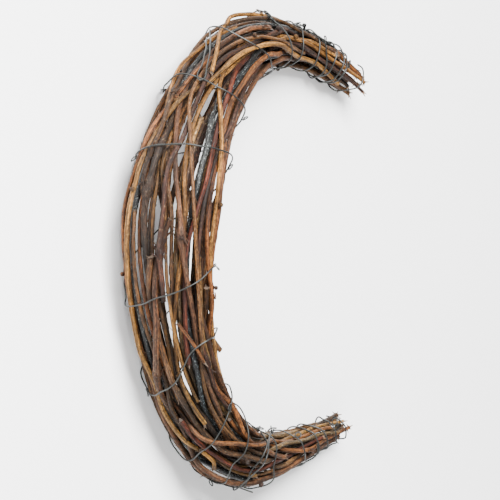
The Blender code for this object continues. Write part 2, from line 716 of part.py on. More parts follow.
class Shell:
    """Closed surface made of rings with flat ends, and side shoots."""

    def __init__(self, sides):
        self.sides = sides
        self.levels = 0
        self.corners = []
        self.triangles = []
        self.opened = set()

    def add_ring(self, corners):
        self.corners.extend(corners)
        self.levels += 1

    def side_face(self, level, j):
        n = self.sides
        after = (j + 1) % n
        return level * n + j, level * n + after, (level + 1) * n + after, (level + 1) * n + j

    def join(self, low, high):
        """Walls between two loops of corners with the same order."""
        n = len(low)
        for j in range(n):
            after = (j + 1) % n
            self.triangles.append((low[j], low[after], high[after]))
            self.triangles.append((low[j], high[after], high[j]))

    def grow(self, level, j, sections):
        """Replace one side face by a side shoot through the given sections."""
        self.opened.add((level, j))
        a, b, c, d = self.side_face(level, j)
        loop = (a, d, c, b)
        for section in sections:
            start = len(self.corners)
            self.corners.extend(section)
            tip = tuple(range(start, start + 4))
            self.join(loop, tip)
            loop = tip
        self.triangles.append((loop[0], loop[1], loop[2]))
        self.triangles.append((loop[0], loop[2], loop[3]))

    def close(self):
        n = self.sides
        for level in range(self.levels - 1):
            for j in range(n):
                if (level, j) not in self.opened:
                    a, b, c, d = self.side_face(level, j)
                    self.triangles.append((a, c, b))
                    self.triangles.append((a, d, c))
        last = (self.levels - 1) * n
        for j in range(1, n - 1):
            self.triangles.append((0, j, j + 1))
            self.triangles.append((last, last + j + 1, last + j))


def ring_axes(along, up):
    """Two directions across a run; the second stays close to the one given."""
    side = cross(along, up)
    if dot3(side, side) < 0.01:
        side = cross(along, (1.0, 0.0, 0.0))
    side = unit(side)
    return side, cross(side, along)


def ring(centre, axes, radius, sides, turn):
    side, up = axes
    corners = []
    for j in range(sides):
        c = cosine(turn + 360.0 * j / sides) * radius
        s = sine(turn + 360.0 * j / sides) * radius
        corners.append(tuple(float(centre[i] + c * side[i] + s * up[i]) for i in range(3)))
    return corners


class Cane:
    """One cane: its rings in order, with the knots put in between."""

    def __init__(self, bundle, number, rng):
        self.number = number
        self.bundle = bundle
        low, high = bundle.spans[number]
        points = bundle.points[number]
        radii = bundle.radius[number]
        turn = rng.uniform(0, 72)
        start = rng.uniform(*END_TRIM)
        stop = rng.uniform(*END_TRIM)
        self.turn = turn
        self.rings = []
        for k in range(low, high + 1):
            centre = points[k]
            if k == low:
                centre = between(points[low], points[low + 1], start)
            if k == high:
                centre = between(points[high], points[high - 1], stop)
            before = points[max(k - 1, low)]
            after = points[min(k + 1, high)]
            along = unit([float(after[i] - before[i]) for i in range(3)])
            self.rings.append({"place": k * bundle.step, "centre": tuple(centre),
                               "along": along, "radius": float(radii[k]), "kind": "plain"})
        self.knots = []

    def run_at(self, place):
        """Centre, direction and radius inside a straight run."""
        bundle = self.bundle
        k = int(place // bundle.step)
        t = place / bundle.step - k
        p0 = bundle.points[self.number, k]
        p1 = bundle.points[self.number, k + 1]
        radius = bundle.radius[self.number, k] * (1 - t) + bundle.radius[self.number, k + 1] * t
        along = unit([float(p1[i] - p0[i]) for i in range(3)])
        return between(p0, p1, t), along, float(radius)

    def add_knot(self, place, outward, kind, shoot=None):
        """Four rings round a place; the middle two swell towards outward."""
        centre, along, radius = self.run_at(place)
        half = REST_HALF_LENGTH if kind == "rest" else 2.0
        for offset, swell in ((-half - 3.0, False), (-half, True), (half, True),
                              (half + 3.0, False)):
            self.rings.append({"place": place + offset * 0.98, "along": along,
                               "centre": moved(centre, along, offset), "radius": radius,
                               "kind": kind if swell else "plain", "outward": outward,
                               "shoot": shoot if (swell and offset < 0) else None})
        self.rings.sort(key=lambda item: item["place"])
        self.knots.append(place)

    def shell(self):
        shell = Shell(SIDES)
        shoots = []
        for level, item in enumerate(self.rings):
            turn = self.turn
            if any(other["kind"] == "rest" for other in self.rings):
                turn = 54.0
            axes = ring_axes(item["along"], (0.0, 0.0, 1.0))
            corners = ring(item["centre"], axes, item["radius"], SIDES, turn)
            if item["kind"] == "knot":
                corners = [self.swollen(item, corner) for corner in corners]
                if item["shoot"]:
                    shoots.append((level, item))
            if item["kind"] == "rest":
                corners = self.flattened(item, axes, corners)
            shell.add_ring(corners)
        for level, item in shoots:
            self.add_shoot(shell, level, item)
        shell.close()
        return shell

    def swollen(self, item, corner):
        spoke = [corner[i] - item["centre"][i] for i in range(3)]
        lean = dot3(spoke, item["outward"]) / item["radius"]
        grow = 1.0 + (KNOT_SWELL - 1.0) * max(0.0, lean)
        return tuple(item["centre"][i] + spoke[i] * grow for i in range(3))

    def flattened(self, item, axes, corners):
        """The two lowest corners go down to the floor."""
        order = sorted(range(SIDES), key=lambda j: corners[j][2])
        lowest = order[:2]
        side = axes[0]
        result = list(corners)
        for j in lowest:
            lean = dot3([corners[j][i] - item["centre"][i] for i in range(3)], side)
            way = REST_HALF_WIDTH if lean > 0 else -REST_HALF_WIDTH
            x = item["centre"][0] + side[0] * way
            y = item["centre"][1] + side[1] * way
            result[j] = (x, y, 0.0)
        return result

    def add_shoot(self, shell, level, item):
        faces = []
        for j in range(SIDES):
            a, b, c, d = shell.side_face(level, j)
            middle = [sum(shell.corners[n][i] for n in (a, b, c, d)) / 4 for i in range(3)]
            spoke = [middle[i] - item["centre"][i] for i in range(3)]
            faces.append((dot3(spoke, item["outward"]), j))
        j = max(faces)[1]
        a, b, c, d = shell.side_face(level, j)
        base = [shell.corners[n] for n in (a, d, c, b)]
        heading, length = item["shoot"]
        sections = []
        middle = [sum(corner[i] for corner in base) / 4 for i in range(3)]
        for part, scale in ((0.45, SHOOT_TAPER), (1.0, SHOOT_TAPER ** 2)):
            section = []
            for corner in base:
                section.append(tuple(middle[i] + (corner[i] - middle[i]) * scale
                                     + heading[i] * length * part for i in range(3)))
            sections.append(section)
        shell.grow(level, j, sections)


def outermost(bundle, place, angle):
    """The cane that stands out furthest at a place in a direction."""
    found = section_of(bundle, place)
    side = sine(angle)
    front = cosine(angle)
    return max((a * side + d * front + r, i) for i, a, d, r in found)[1]


def section_direction(bundle, place, angle):
    """World direction that points out of the bundle at an angle."""
    centre = section_point(bundle.crescent, place, 0.0, 0.0)
    tip = section_point(bundle.crescent, place, sine(angle), cosine(angle))
    return unit([tip[i] - centre[i] for i in range(3)])


def middle_of_run(bundle, place):
    """Move a place so that a knot there keeps off the shared stations."""
    k = int(place // bundle.step)
    margin = (KNOT_SPAN + 3.5) / bundle.step
    t = min(max(place / bundle.step - k, margin), 1 - margin)
    return (k + t) * bundle.step


def rest_room(bundle, cane, spot, wires):
    """Free space round a knot that would reach down to the floor."""
    centre, along, _ = cane.run_at(spot)
    others = cane_obstacles(bundle, cane.number).joined(wires)
    side = ring_axes(along, (0.0, 0.0, 1.0))[0]
    room = 1e9
    for step in (-7.0, -4.0, -2.0, 0.0, 2.0, 4.0, 7.0):
        for way in (-REST_HALF_WIDTH, 0.0, REST_HALF_WIDTH):
            x, y, z = moved(moved(centre, along, step), side, way)
            for height in (0.0, z * 0.5):
                room = min(room, others.room((x, y, height)))
    return room


def add_rest_knots(bundle, canes, wires):
    """Flat knots under the lowest canes, where neither wire nor cane is in the way."""
    for place in REST_PLACES:
        choices = []
        for offset in (0, 6, -6, 12, -12, 18, -18, 24, -24):
            spot = middle_of_run(bundle, place + offset)
            for i, _, _, _ in section_of(bundle, spot):
                low, high = bundle.spans[i]
                centre, _, radius = canes[i].run_at(spot)
                inside = (low + 1) * bundle.step < spot < (high - 1) * bundle.step
                if inside and centre[2] - radius < FLOOR_GAP + 1.2:
                    room = rest_room(bundle, canes[i], spot, wires)
                    choices.append((min(round(room, 3), 1.0), -abs(offset), i, spot))
        best = max(choices)
        canes[best[2]].add_knot(best[3], (0.0, 0.0, -1.0), "rest")


def add_knots(bundle, canes, wires, rng):
    """Knots on the outermost canes, clear of the wires and of other canes."""
    places = list(CHOSEN_KNOTS)
    for _ in range(KNOTS * 6):
        places.append((rng.uniform(30, 800), rng.uniform(-110, 110)))
    made = 0
    for place, angle in places:
        if made >= KNOTS:
            break
        spot = middle_of_run(bundle, place)
        number = outermost(bundle, spot, angle)
        cane = canes[number]
        low, high = bundle.spans[number]
        if not (low + 1) * bundle.step < spot < (high - 1) * bundle.step:
            continue
        if any(abs(spot - other) < 2 * bundle.step for other in cane.knots):
            continue
        outward = section_direction(bundle, spot, angle)
        centre, along, radius = cane.run_at(spot)
        others = cane_obstacles(bundle, number).joined(wires)
        if not knot_is_clear(centre, along, outward, radius, others):
            continue
        shoot = None
        if made % SHOOT_EVERY == 0:
            shoot = free_shoot(centre, along, outward, radius, others, rng)
        cane.add_knot(spot, outward, "knot", shoot)
        made += 1


def knot_is_clear(centre, along, outward, radius, others):
    across = cross(along, outward)
    for step in (-4.5, -3.0, -1.5, 0.0, 1.5, 3.0, 4.5):
        for turn in (-60, -30, 0, 30, 60):
            spoke = [outward[i] * cosine(turn) + across[i] * sine(turn) for i in range(3)]
            grow = 1.0 + (KNOT_SWELL - 1.0) * cosine(turn)
            spot = moved(moved(centre, along, step), spoke, radius * grow)
            if others.room(spot) < CLEARANCE - 0.05:
                return False
    return True


def free_shoot(centre, along, outward, radius, others, rng):
    """Heading and length of a side shoot that touches nothing."""
    length = rng.uniform(*SHOOT_LENGTH)
    for lean in (0.9, -0.9, 0.5, -0.5, 0.0):
        heading = unit([outward[i] + along[i] * lean for i in range(3)])
        base = moved(centre, outward, radius)
        clear = True
        for part in (0.2, 0.4, 0.6, 0.8, 1.0):
            thick = 2.3 - 0.7 * part
            if others.room(moved(base, heading, length * part)) < thick + CLEARANCE:
                clear = False
        if clear:
            return heading, length
    return None


def wire_shell(points):
    shell = Shell(3)
    up = (0.0, 0.0, 1.0)
    last = len(points) - 1
    for i, point in enumerate(points):
        before = points[max(i - 1, 0)]
        after = points[min(i + 1, last)]
        along = unit([float(after[c] - before[c]) for c in range(3)])
        axes = ring_axes(along, up)
        up = axes[1]
        shell.add_ring(ring(point, axes, WIRE_RADIUS, 3, 90.0))
    shell.close()
    return shell


def linear(value):
    """Linear light from an sRGB value."""
    if value <= 0.04045:
        return value / 12.92
    return ((value + 0.055) / 1.055) ** 2.4


def make_material(name, colour, roughness, metallic):
    material = bpy.data.materials.new(name)
    material.use_nodes = True
    shader = material.node_tree.nodes["Principled BSDF"]
    red, green, blue = (linear(value) for value in colour)
    shader.inputs["Base Color"].default_value = (red, green, blue, 1.0)
    shader.inputs["Roughness"].default_value = roughness
    shader.inputs["Metallic"].default_value = metallic
    material.diffuse_color = (red, green, blue, 1.0)
    return material


def make_object(name, shell, shift, material):
    corners = []
    for corner in shell.corners:
        corners.append(tuple(round((corner[i] + shift[i]) * 0.001, 7) for i in range(3)))
    mesh = bpy.data.meshes.new(name)
    mesh.from_pydata(corners, [], shell.triangles)
    mesh.materials.append(material)
    mesh.update()
    item = bpy.data.objects.new(name, mesh)
    bpy.context.scene.collection.objects.link(item)
    return item


def plan_wires(bundle):
    """Paths of the wires; each later one is kept clear of the earlier ones."""
    obstacles = cane_obstacles(bundle)
    main = clear_wire(wire_path(bundle, wire_marks(), None), obstacles)
    paths = [("wire_winding", main)]
    laid = wire_obstacles(main)
    for name, marks in (("wire_upper_turns", TOP_WIRE), ("wire_lower_turns", LOW_WIRE),
                        ("wire_loose_strand", LOOSE_WIRE)):
        path = clear_wire(wire_path(bundle, marks, laid), obstacles.joined(laid))
        laid = laid.joined(wire_obstacles(path))
        paths.append((name, path))
    return paths, laid


def middle_shift(shells):
    """Shift that puts the middle of the underside at the origin."""
    low = [min(corner[i] for _, shell, _ in shells for corner in shell.corners)
           for i in range(3)]
    high = [max(corner[i] for _, shell, _ in shells for corner in shell.corners)
            for i in range(3)]
    return (-(low[0] + high[0]) / 2, -(low[1] + high[1]) / 2, -low[2])


def build():
    for item in list(bpy.data.objects):
        bpy.data.objects.remove(item, do_unlink=True)
    bundle = Bundle(Crescent())
    bundle.settle()
    bundle.place_in_space()
    bundle.clear_in_space()
    wires, laid = plan_wires(bundle)
    rng = random.Random(SEED + 2)
    canes = [Cane(bundle, i, rng) for i in range(bundle.count)]
    add_rest_knots(bundle, canes, laid)
    add_knots(bundle, canes, laid, rng)
    shells = []
    for i, cane in enumerate(canes):
        shells.append(("cane_%02d_%s" % (i + 1, bundle.barks[i]), cane.shell(),
                       bundle.barks[i]))
    for name, path in wires:
        shells.append((name, wire_shell(path), "wire"))
    shift = middle_shift(shells)
    for name, shell, bark in shells:
        if bark == "wire":
            material = make_material(name + "_metal", WIRE_COLOUR, 0.45, 0.8)
        else:
            material = make_material(name + "_bark", BARKS[bark], 0.8, 0.0)
        make_object(name, shell, shift, material)


build()
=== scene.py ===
"""Crescent wreath of vine canes: barks, cut ends, binding wire and the studio round it.

Lengths are in metres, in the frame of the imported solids. Each cane is traced from its
solid ring by ring, and made again as a rounder, bark-covered cane on the same line.
"""
import math
from collections import namedtuple

import bmesh
import bpy
import numpy as np
from mathutils import Matrix, Vector
from mathutils.kdtree import KDTree


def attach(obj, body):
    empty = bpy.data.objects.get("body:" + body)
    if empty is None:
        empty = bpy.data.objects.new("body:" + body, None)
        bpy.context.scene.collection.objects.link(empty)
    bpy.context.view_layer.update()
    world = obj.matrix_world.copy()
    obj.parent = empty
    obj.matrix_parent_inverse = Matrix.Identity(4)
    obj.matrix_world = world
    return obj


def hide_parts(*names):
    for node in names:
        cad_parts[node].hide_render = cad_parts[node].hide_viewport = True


bl_info = {
    "name": "Crescent vine wreath",
    "version": (1, 0, 0),
    "blender": (4, 5, 0),
    "location": "View3D > Sidebar > Wreath",
    "description": "Bark, cut ends and binding wire for a crescent wreath of vine canes",
    "category": "Object",
}

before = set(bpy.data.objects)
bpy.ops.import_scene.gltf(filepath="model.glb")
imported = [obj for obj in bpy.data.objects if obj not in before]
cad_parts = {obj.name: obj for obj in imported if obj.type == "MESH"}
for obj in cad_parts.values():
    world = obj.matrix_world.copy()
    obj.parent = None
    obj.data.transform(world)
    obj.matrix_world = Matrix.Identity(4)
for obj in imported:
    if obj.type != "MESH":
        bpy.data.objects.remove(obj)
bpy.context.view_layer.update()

CANES = sorted(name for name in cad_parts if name.startswith("cane_"))
WIRES = sorted(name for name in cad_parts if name.startswith("wire_"))

# How the solids are traced: corners round a cane, and how near the corners of one ring stand
CANE_CORNERS = 5
CANE_REACH = 0.0046
WIRE_REACH = 0.0013

# Camera: metres for one step of the photograph's 500, and its three directions
STEP_SIZE = 0.00083
VIEW_STEPS = 7550.6
IMAGE_STEPS = 500
ALONG_VIEW = (0.82881, 0.01989, -0.55917)
TO_RIGHT = (0.55758, 0.05384, 0.82837)
TO_TOP = (-0.04658, 0.99835, -0.03353)
CENTRE_SHIFT = (-0.15, -1.55)
CRESCENT_CENTRE = (0.044406, 0.003803, 0.0)
SENSOR_MM = 36.0

# Where the two horns start to spread and where they end, across the wreath
HORN_START = 0.105
HORN_END = 0.180

# Rough knots: place in the photograph across and down, and how strong
ROUGH_KNOTS = ((171, 91, 0.7), (153, 151, 0.9), (159, 149, 0.7), (144, 188, 1.2),
               (165, 243, 0.9), (163, 250, 0.8), (178, 241, 0.8), (178, 234, 0.6),
               (206, 362, 0.9), (158, 376, 0.6), (213, 120, 0.4), (190, 72, 0.5))

# Dark bark round these places of the photograph, and how far it reaches in metres
DARK_PATCHES = ((192, 375, 0.014), (197, 393, 0.012), (152, 240, 0.020), (168, 300, 0.018),
                (206, 200, 0.016), (150, 160, 0.016), (185, 410, 0.014), (250, 458, 0.014))

# Curls of wire: place in the photograph and size in metres
WIRE_CURLS = ((268, 14, 0.0036), (275, 13, 0.0028), (295, 24, 0.0034), (330, 38, 0.0026),
              (352, 66, 0.0034), (243, 119, 0.0026), (231, 170, 0.0030), (216, 267, 0.0026),
              (130, 160, 0.0024), (150, 387, 0.0030), (237, 409, 0.0034), (257, 429, 0.0030),
              (274, 434, 0.0036), (300, 432, 0.0026), (336, 422, 0.0030), (210, 481, 0.0026))

# Thin tendrils that curl off a cane: place in the photograph and size in metres
TENDRILS = ((263, 26, 0.0030), (213, 294, 0.0026), (205, 300, 0.0020), (262, 14, 0.0030),
            (178, 100, 0.0024), (166, 128, 0.0022), (224, 412, 0.0022))

# Bark: how deep and rich the colours are. Each kind has its colour as seen, the strength and
# colour of its flecks, its weathering and how rough and peeling it is
BARK_DEPTH = 0.44
BARK_RICHNESS = 1.22
PALE_FLECK = (0.70, 0.60, 0.46)
BARK_KINDS = (
    ("tan", (0.76, 0.55, 0.28), 0.30, (0.88, 0.70, 0.44), 0.45, 0.35),
    ("orange", (0.68, 0.44, 0.24), 0.25, (0.84, 0.62, 0.36), 0.40, 0.30),
    ("red", (0.55, 0.28, 0.17), 0.20, (0.75, 0.50, 0.34), 0.35, 0.20),
    ("rosy", (0.55, 0.37, 0.24), 0.30, PALE_FLECK, 0.45, 0.40),
    ("brown", (0.58, 0.41, 0.24), 0.30, PALE_FLECK, 0.55, 0.80),
    ("umber", (0.50, 0.35, 0.21), 0.35, PALE_FLECK, 0.55, 1.00),
    ("plum", (0.42, 0.26, 0.18), 0.30, PALE_FLECK, 0.45, 0.70),
    ("dark", (0.42, 0.30, 0.20), 0.40, PALE_FLECK, 0.55, 1.20),
    ("grey", (0.15, 0.16, 0.155), 0.62, (0.90, 0.93, 0.91), 0.20, 0.30),
    ("pale", (0.68, 0.52, 0.32), 0.40, (0.88, 0.78, 0.60), 0.60, 0.90),
)

# Tone of the bark: how much it and its hue vary, and what patches, cut ends and the lower part do
TONE_SPREAD = 0.24
HUE_SPREAD = (0.10, 0.0, -0.14)
PATCH_SHADE = 0.55
END_SHADE = 0.45
LOW_TINT = (-0.16, -0.05, 0.08)
LOW_START = -0.05
LOW_WIDTH = 0.06

# Scraps of bark: length, width and lift in metres, and lean in radians
STRIP_SIZE = (0.0055, 0.0011, 0.0008, 0.05)
SHRED_SIZE = (0.0075, 0.0026, 0.0030, 0.20)
FIBRE_SIZE = (0.00055, 0.00045, 0.00176, 0.90)
SCRAP_ROOT = 0.0003
SCRAP_GRAIN = 0.0025
STUB_THICKNESS = (0.0016, 0.0026)
STUB_LENGTH = (0.0020, 0.0042)
STUB_ROOT = 0.0006
KNOT_FIBRES = 26
KNOT_SHREDS = 7

# Torn splinters at the ends: how many, how long at a tip of the wreath and elsewhere, how thick
TIP_SPLINTERS = (2, 6)
INNER_SPLINTERS = (1, 4)
TIP_SPLINTER_LENGTH = (0.0014, 0.0030)
INNER_SPLINTER_LENGTH = (0.0014, 0.0026)
SPLINTER_THICKNESS = (0.0014, 0.0026)
SPLINTER_ROOT = 0.001

# Length round a knot or a rest where a cane keeps to its solid's line
KEPT_LENGTH = 0.020

# Section of a cane: its lobes and their depth, and how wide a joint, a knot and a rest are
LOBES = ((2, 0.09), (3, 0.06), (5, 0.035))
LOBE_WAVE = 0.03
JOINT_WIDTH = (0.0022, 0.0040)
KNOT_WIDTH = 0.0036
KNOT_LIFT = 0.28
REST_WIDTH = 0.0052

# Cut ends: slant in degrees, and how uneven a torn one is, as a share of its radius
END_SLANT = (5, 38)
END_TEAR = 0.45

# How far round a point the bundle is looked at: for its way out, and for what lies over it
BUNDLE_REACH = 0.045
COVER_REACH = 0.013

# How far from its place in the photograph a knot, a tendril or a curl may find its cane or wire
KNOT_PICK = 5
TENDRIL_PICK = 6
CURL_PICK = 14
# How much a cane's thickness and its depth behind the others weigh in that choice
KNOT_THICK_WEIGHT = 4.0
KNOT_DEPTH_WEIGHT = 0.35
DEPTH_WEIGHT = 0.12

# Sides and radii of the round wires and of the thinner tubes
WIRE_SIDES = 8
SHOOT_SIDES = 8
THIN_SIDES = 6
TENDRIL_RADIUS = (0.0006, 0.00045)
CURL_THICKNESS = 0.8
# Radius of a new tube, before its corners get their own places
START_RADIUS = 0.001

# Grain of one cane is this far from the next one's, so that no two barks are the same
GRAIN_APART = 3.0

# Seeds of the canes' lines, the canes' barks, the wires' lines and the wires' curls
LINE_SEED = 100
CANE_SEED = 300
WIRE_LINE_SEED = 900
WIRE_SEED = 950

# Studio: where the two soft lights hang, how wide they are and where they point
MAIN_LIGHT = ((-1.3, 1.5, 2.0), 1.7)
FILL_LIGHT = ((-1.4, -1.6, 1.3), 1.8)
FILL_SHARE = 0.16
LIGHT_TARGET = (0, 0, 0.04)

Form = namedtuple("Form", "line places radius joints knots rests shoots")
Bark = namedtuple("Bark", "line places corners spokes grain")


# Small helpers

def unit(vector):
    """A vector of length one."""
    return vector / np.linalg.norm(vector)


def side_angles(sides):
    """The angle of each corner round a ring."""
    return np.arange(sides) * 2 * math.pi / sides


def either_way(rng):
    """1 or -1."""
    return 1 if rng.random() < 0.5 else -1


def nearest_step(line, point):
    """The step of a line that is nearest to a point."""
    return int(np.argmin(np.linalg.norm(line - point, axis=1)))


def step_at(places, place):
    """The step nearest to a place along a line."""
    return int(np.argmin(np.abs(places - place)))


# Tracing the solids

def merged_corners(node):
    """Corners and triangles of a solid, with its doubled corners merged."""
    form = bmesh.new()
    form.from_mesh(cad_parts[node].data)
    bmesh.ops.remove_doubles(form, verts=form.verts, dist=1e-6)
    corners = np.array([v.co[:] for v in form.verts])
    triangles = [tuple(v.index for v in face.verts) for face in form.faces]
    form.free()
    return corners, triangles


def clusters_along(node, reach):
    """Corners gathered into the clusters of a run, in order from one end to the other."""
    corners, triangles = merged_corners(node)
    apart = np.linalg.norm(corners[:, None, :] - corners[None, :, :], axis=2)
    label = np.full(len(corners), -1)
    clusters = []
    for start in range(len(corners)):
        if label[start] >= 0:
            continue
        front = [start]
        label[start] = len(clusters)
        group = []
        while front:
            corner = front.pop()
            group.append(corner)
            for other in np.nonzero((apart[corner] < reach) & (label < 0))[0]:
                label[other] = len(clusters)
                front.append(other)
        clusters.append(np.array(sorted(group)))
    joined = [set() for cluster in clusters]
    for triangle in triangles:
        for a in triangle:
            for b in triangle:
                if label[a] != label[b]:
                    joined[label[a]].add(label[b])
    ends = [k for k, others in enumerate(joined) if len(others) == 1]
    if len(ends) != 2:
        raise RuntimeError("%s has %d ends" % (node, len(ends)))
    order = [ends[0]]
    while True:
        ahead = [k for k in joined[order[-1]] if k not in order]
        if not ahead:
            break
        if len(ahead) > 1:
            raise RuntimeError(node + " has a fork")
        order.append(ahead[0])
    if len(order) != len(clusters):
        raise RuntimeError(node + " isn't traced to its end")
    return [corners[clusters[k]] for k in order]


def is_ring(cluster, count):
    """True where a cluster is one plain ring: so many corners evenly on a circle."""
    if len(cluster) != count:
        return False
    sizes = np.linalg.norm(cluster - cluster.mean(axis=0), axis=1)
    return np.ptp(sizes) < 0.04 * sizes.mean()


def split_rings(cluster, start, way):
    """A cluster's corners as groups that stand at the same place along the run."""
    along = (cluster - start) @ way
    order = np.argsort(along)
    breaks = np.nonzero(np.diff(along[order]) > 0.0012)[0] + 1
    return [cluster[part] for part in np.split(order, breaks)]


def ring_radius(ring):
    """Mean distance of some corners from their middle."""
    return np.linalg.norm(ring - ring.mean(axis=0), axis=1).mean()


def shoot_sections(cluster, outside, offset, root):
    """A side shoot's middles and radii at its root, its foot and its tip."""
    far = np.argsort(offset)[-4:]
    near = [n for n in np.nonzero(outside)[0] if n not in far]
    return [root] + [(cluster[part].mean(axis=0), ring_radius(cluster[part]))
                     for part in (near, far)]


def trace_cane(node):
    """Line, radii, swollen knots, resting places and side shoots of one cane."""
    clusters = clusters_along(node, CANE_REACH)
    plain = [k for k, cluster in enumerate(clusters) if is_ring(cluster, CANE_CORNERS)]
    rings = []
    knots = []
    rests = []
    shoots = []
    for k, cluster in enumerate(clusters):
        if k in plain:
            rings.append(cluster)
            continue
        after = min(max(int(np.searchsorted(plain, k)), 1), len(plain) - 1)
        before_ring, after_ring = clusters[plain[after - 1]], clusters[plain[after]]
        start = before_ring.mean(axis=0)
        way = unit(after_ring.mean(axis=0) - start)
        groups = split_rings(cluster, start, way)
        even = [group for group in groups if is_ring(group, CANE_CORNERS)]
        rings.extend(even)
        if len(even) >= 2:
            start = even[0].mean(axis=0)
            way = unit(even[-1].mean(axis=0) - start)
        radius = ring_radius(before_ring)
        along = (cluster - start) @ way
        spokes = cluster - start - np.outer(along, way)
        offset = np.linalg.norm(spokes, axis=1)
        if cluster[:, 2].min() < 1e-5:
            rests.append(start + way * along[cluster[:, 2] < 1e-5].mean())
            continue
        body = offset < 1.5 * radius
        swollen = body & (offset > 1.12 * radius)
        if not swollen.any():
            continue
        centre = start + way * along[swollen].mean()
        knots.append((centre, unit(spokes[swollen].mean(axis=0))))
        if (~body).sum() >= 6:
            shoots.append(shoot_sections(cluster, ~body, offset, (centre, 0.7 * radius)))
    line = np.array([ring.mean(axis=0) for ring in rings])
    return line, np.array([ring_radius(ring) for ring in rings]), knots, rests, shoots


# Lines and drifting values

def smooth_line(points, step, stiffness=0.5):
    """An evenly stepped smooth line through the points, and where each step falls."""
    points = np.asarray(points, dtype=float)
    first = points[0] * 2 - points[1]
    last = points[-1] * 2 - points[-2]
    p = np.vstack((first, points, last))
    gaps = np.maximum(np.linalg.norm(np.diff(p, axis=0), axis=1), 1e-9) ** stiffness
    fine = []
    marks = []
    for k in range(1, len(p) - 2):
        t0, t1 = 0.0, gaps[k - 1]
        t2 = t1 + gaps[k]
        t3 = t2 + gaps[k + 1]
        count = max(3, int(np.linalg.norm(p[k + 1] - p[k]) / (0.4 * step)))
        t = np.linspace(t1, t2, count, endpoint=False)[:, None]
        a1 = (t1 - t) / (t1 - t0) * p[k - 1] + (t - t0) / (t1 - t0) * p[k]
        a2 = (t2 - t) / (t2 - t1) * p[k] + (t - t1) / (t2 - t1) * p[k + 1]
        a3 = (t3 - t) / (t3 - t2) * p[k + 1] + (t - t2) / (t3 - t2) * p[k + 2]
        b1 = (t2 - t) / (t2 - t0) * a1 + (t - t0) / (t2 - t0) * a2
        b2 = (t3 - t) / (t3 - t1) * a2 + (t - t1) / (t3 - t1) * a3
        fine.append((t2 - t) / (t2 - t1) * b1 + (t - t1) / (t2 - t1) * b2)
        marks.append(k - 1 + (t[:, 0] - t1) / (t2 - t1))
    fine = np.vstack(fine + [points[-1:]])
    marks = np.concatenate(marks + [[len(points) - 1.0]])
    way = np.concatenate(([0.0], np.cumsum(np.linalg.norm(np.diff(fine, axis=0), axis=1))))
    count = max(4, int(round(way[-1] / step)))
    even = np.linspace(0, way[-1], count + 1)
    line = np.stack([np.interp(even, way, fine[:, i]) for i in range(3)], axis=1)
    return line, np.interp(even, way, marks), even


def drifting(rng, places, wave):
    """Smooth random values from -1 to 1 that change about once in each wave."""
    t = (places - places[0]) / wave
    knots = rng.uniform(-1, 1, int(t[-1]) + 3)
    k = t.astype(int)
    f = t - k
    f = f * f * (3 - 2 * f)
    return knots[k] * (1 - f) + knots[k + 1] * f


def bump(places, middle, width):
    """A soft hump, 1 at its middle."""
    return np.exp(-((places - middle) / width) ** 2)


# Making meshes

def clear_selection():
    """Leaves edit mode and deselects everything."""
    if bpy.context.object and bpy.context.object.mode != "OBJECT":
        bpy.ops.object.mode_set(mode="OBJECT")
    bpy.ops.object.select_all(action="DESELECT")


def select_only(piece):
    """Makes one piece the only selected one, and the active one."""
    clear_selection()
    piece.select_set(True)
    bpy.context.view_layer.objects.active = piece


def tube(name, line, sides):
    """An open tube of quads along a line, with its corners ring after ring."""
    clear_selection()
    bpy.ops.curve.primitive_nurbs_path_add()
    piece = bpy.context.object
    curve = piece.data
    curve.splines.clear()
    spline = curve.splines.new("POLY")
    spline.points.add(len(line) - 1)
    spline.points.foreach_set("co", np.c_[line, np.ones(len(line))].ravel())
    curve.dimensions = "3D"
    curve.twist_mode = "MINIMUM"
    curve.bevel_depth = START_RADIUS
    curve.bevel_resolution = (sides - 4) // 2
    bpy.ops.object.convert(target="MESH")
    piece = bpy.context.object
    piece.name = name
    piece.data.name = name
    return piece


def rings_of(piece, count):
    """The corners of a tube as rings, its sides, and each corner's spoke from the middle."""
    corners = np.empty(len(piece.data.vertices) * 3)
    piece.data.vertices.foreach_get("co", corners)
    corners = corners.reshape(count, -1, 3)
    middles = corners.mean(axis=1)
    spokes = corners - middles[:, None, :]
    spokes /= np.linalg.norm(spokes, axis=2)[:, :, None]
    return middles, spokes


def put_corners(piece, corners):
    """Moves a piece's corners to new places."""
    piece.data.vertices.foreach_set("co", corners.ravel())
    piece.data.update()


def put_values(piece, name, values, kind="FLOAT"):
    """Stores one value, or one vector, for each corner under a name."""
    layer = piece.data.attributes.new(name, kind, "POINT")
    key = "vector" if kind == "FLOAT_VECTOR" else "value"
    layer.data.foreach_set(key, np.asarray(values, dtype=np.float32).ravel())


def grain_places(radius, places):
    """Each corner's place in the cane's own grain: twice across it, and along it."""
    turn = side_angles(radius.shape[1])
    along = np.repeat(places[:, None], radius.shape[1], axis=1)
    return np.stack([radius * np.cos(turn), radius * np.sin(turn), along], axis=2)


def put_grain(piece, grain, knot, tone):
    """Stores what the finishes read: each corner's place in the grain, its knot, and its tone with
    any painted shade.
    """
    count = len(piece.data.vertices)
    put_values(piece, "grain", grain, "FLOAT_VECTOR")
    put_values(piece, "knot", np.broadcast_to(np.ravel(knot), count))
    tone = np.asarray(tone)
    tone = tone.reshape(-1, 3) if tone.ndim else tone
    put_values(piece, "tone", np.broadcast_to(tone, (count, 3)), "FLOAT_VECTOR")


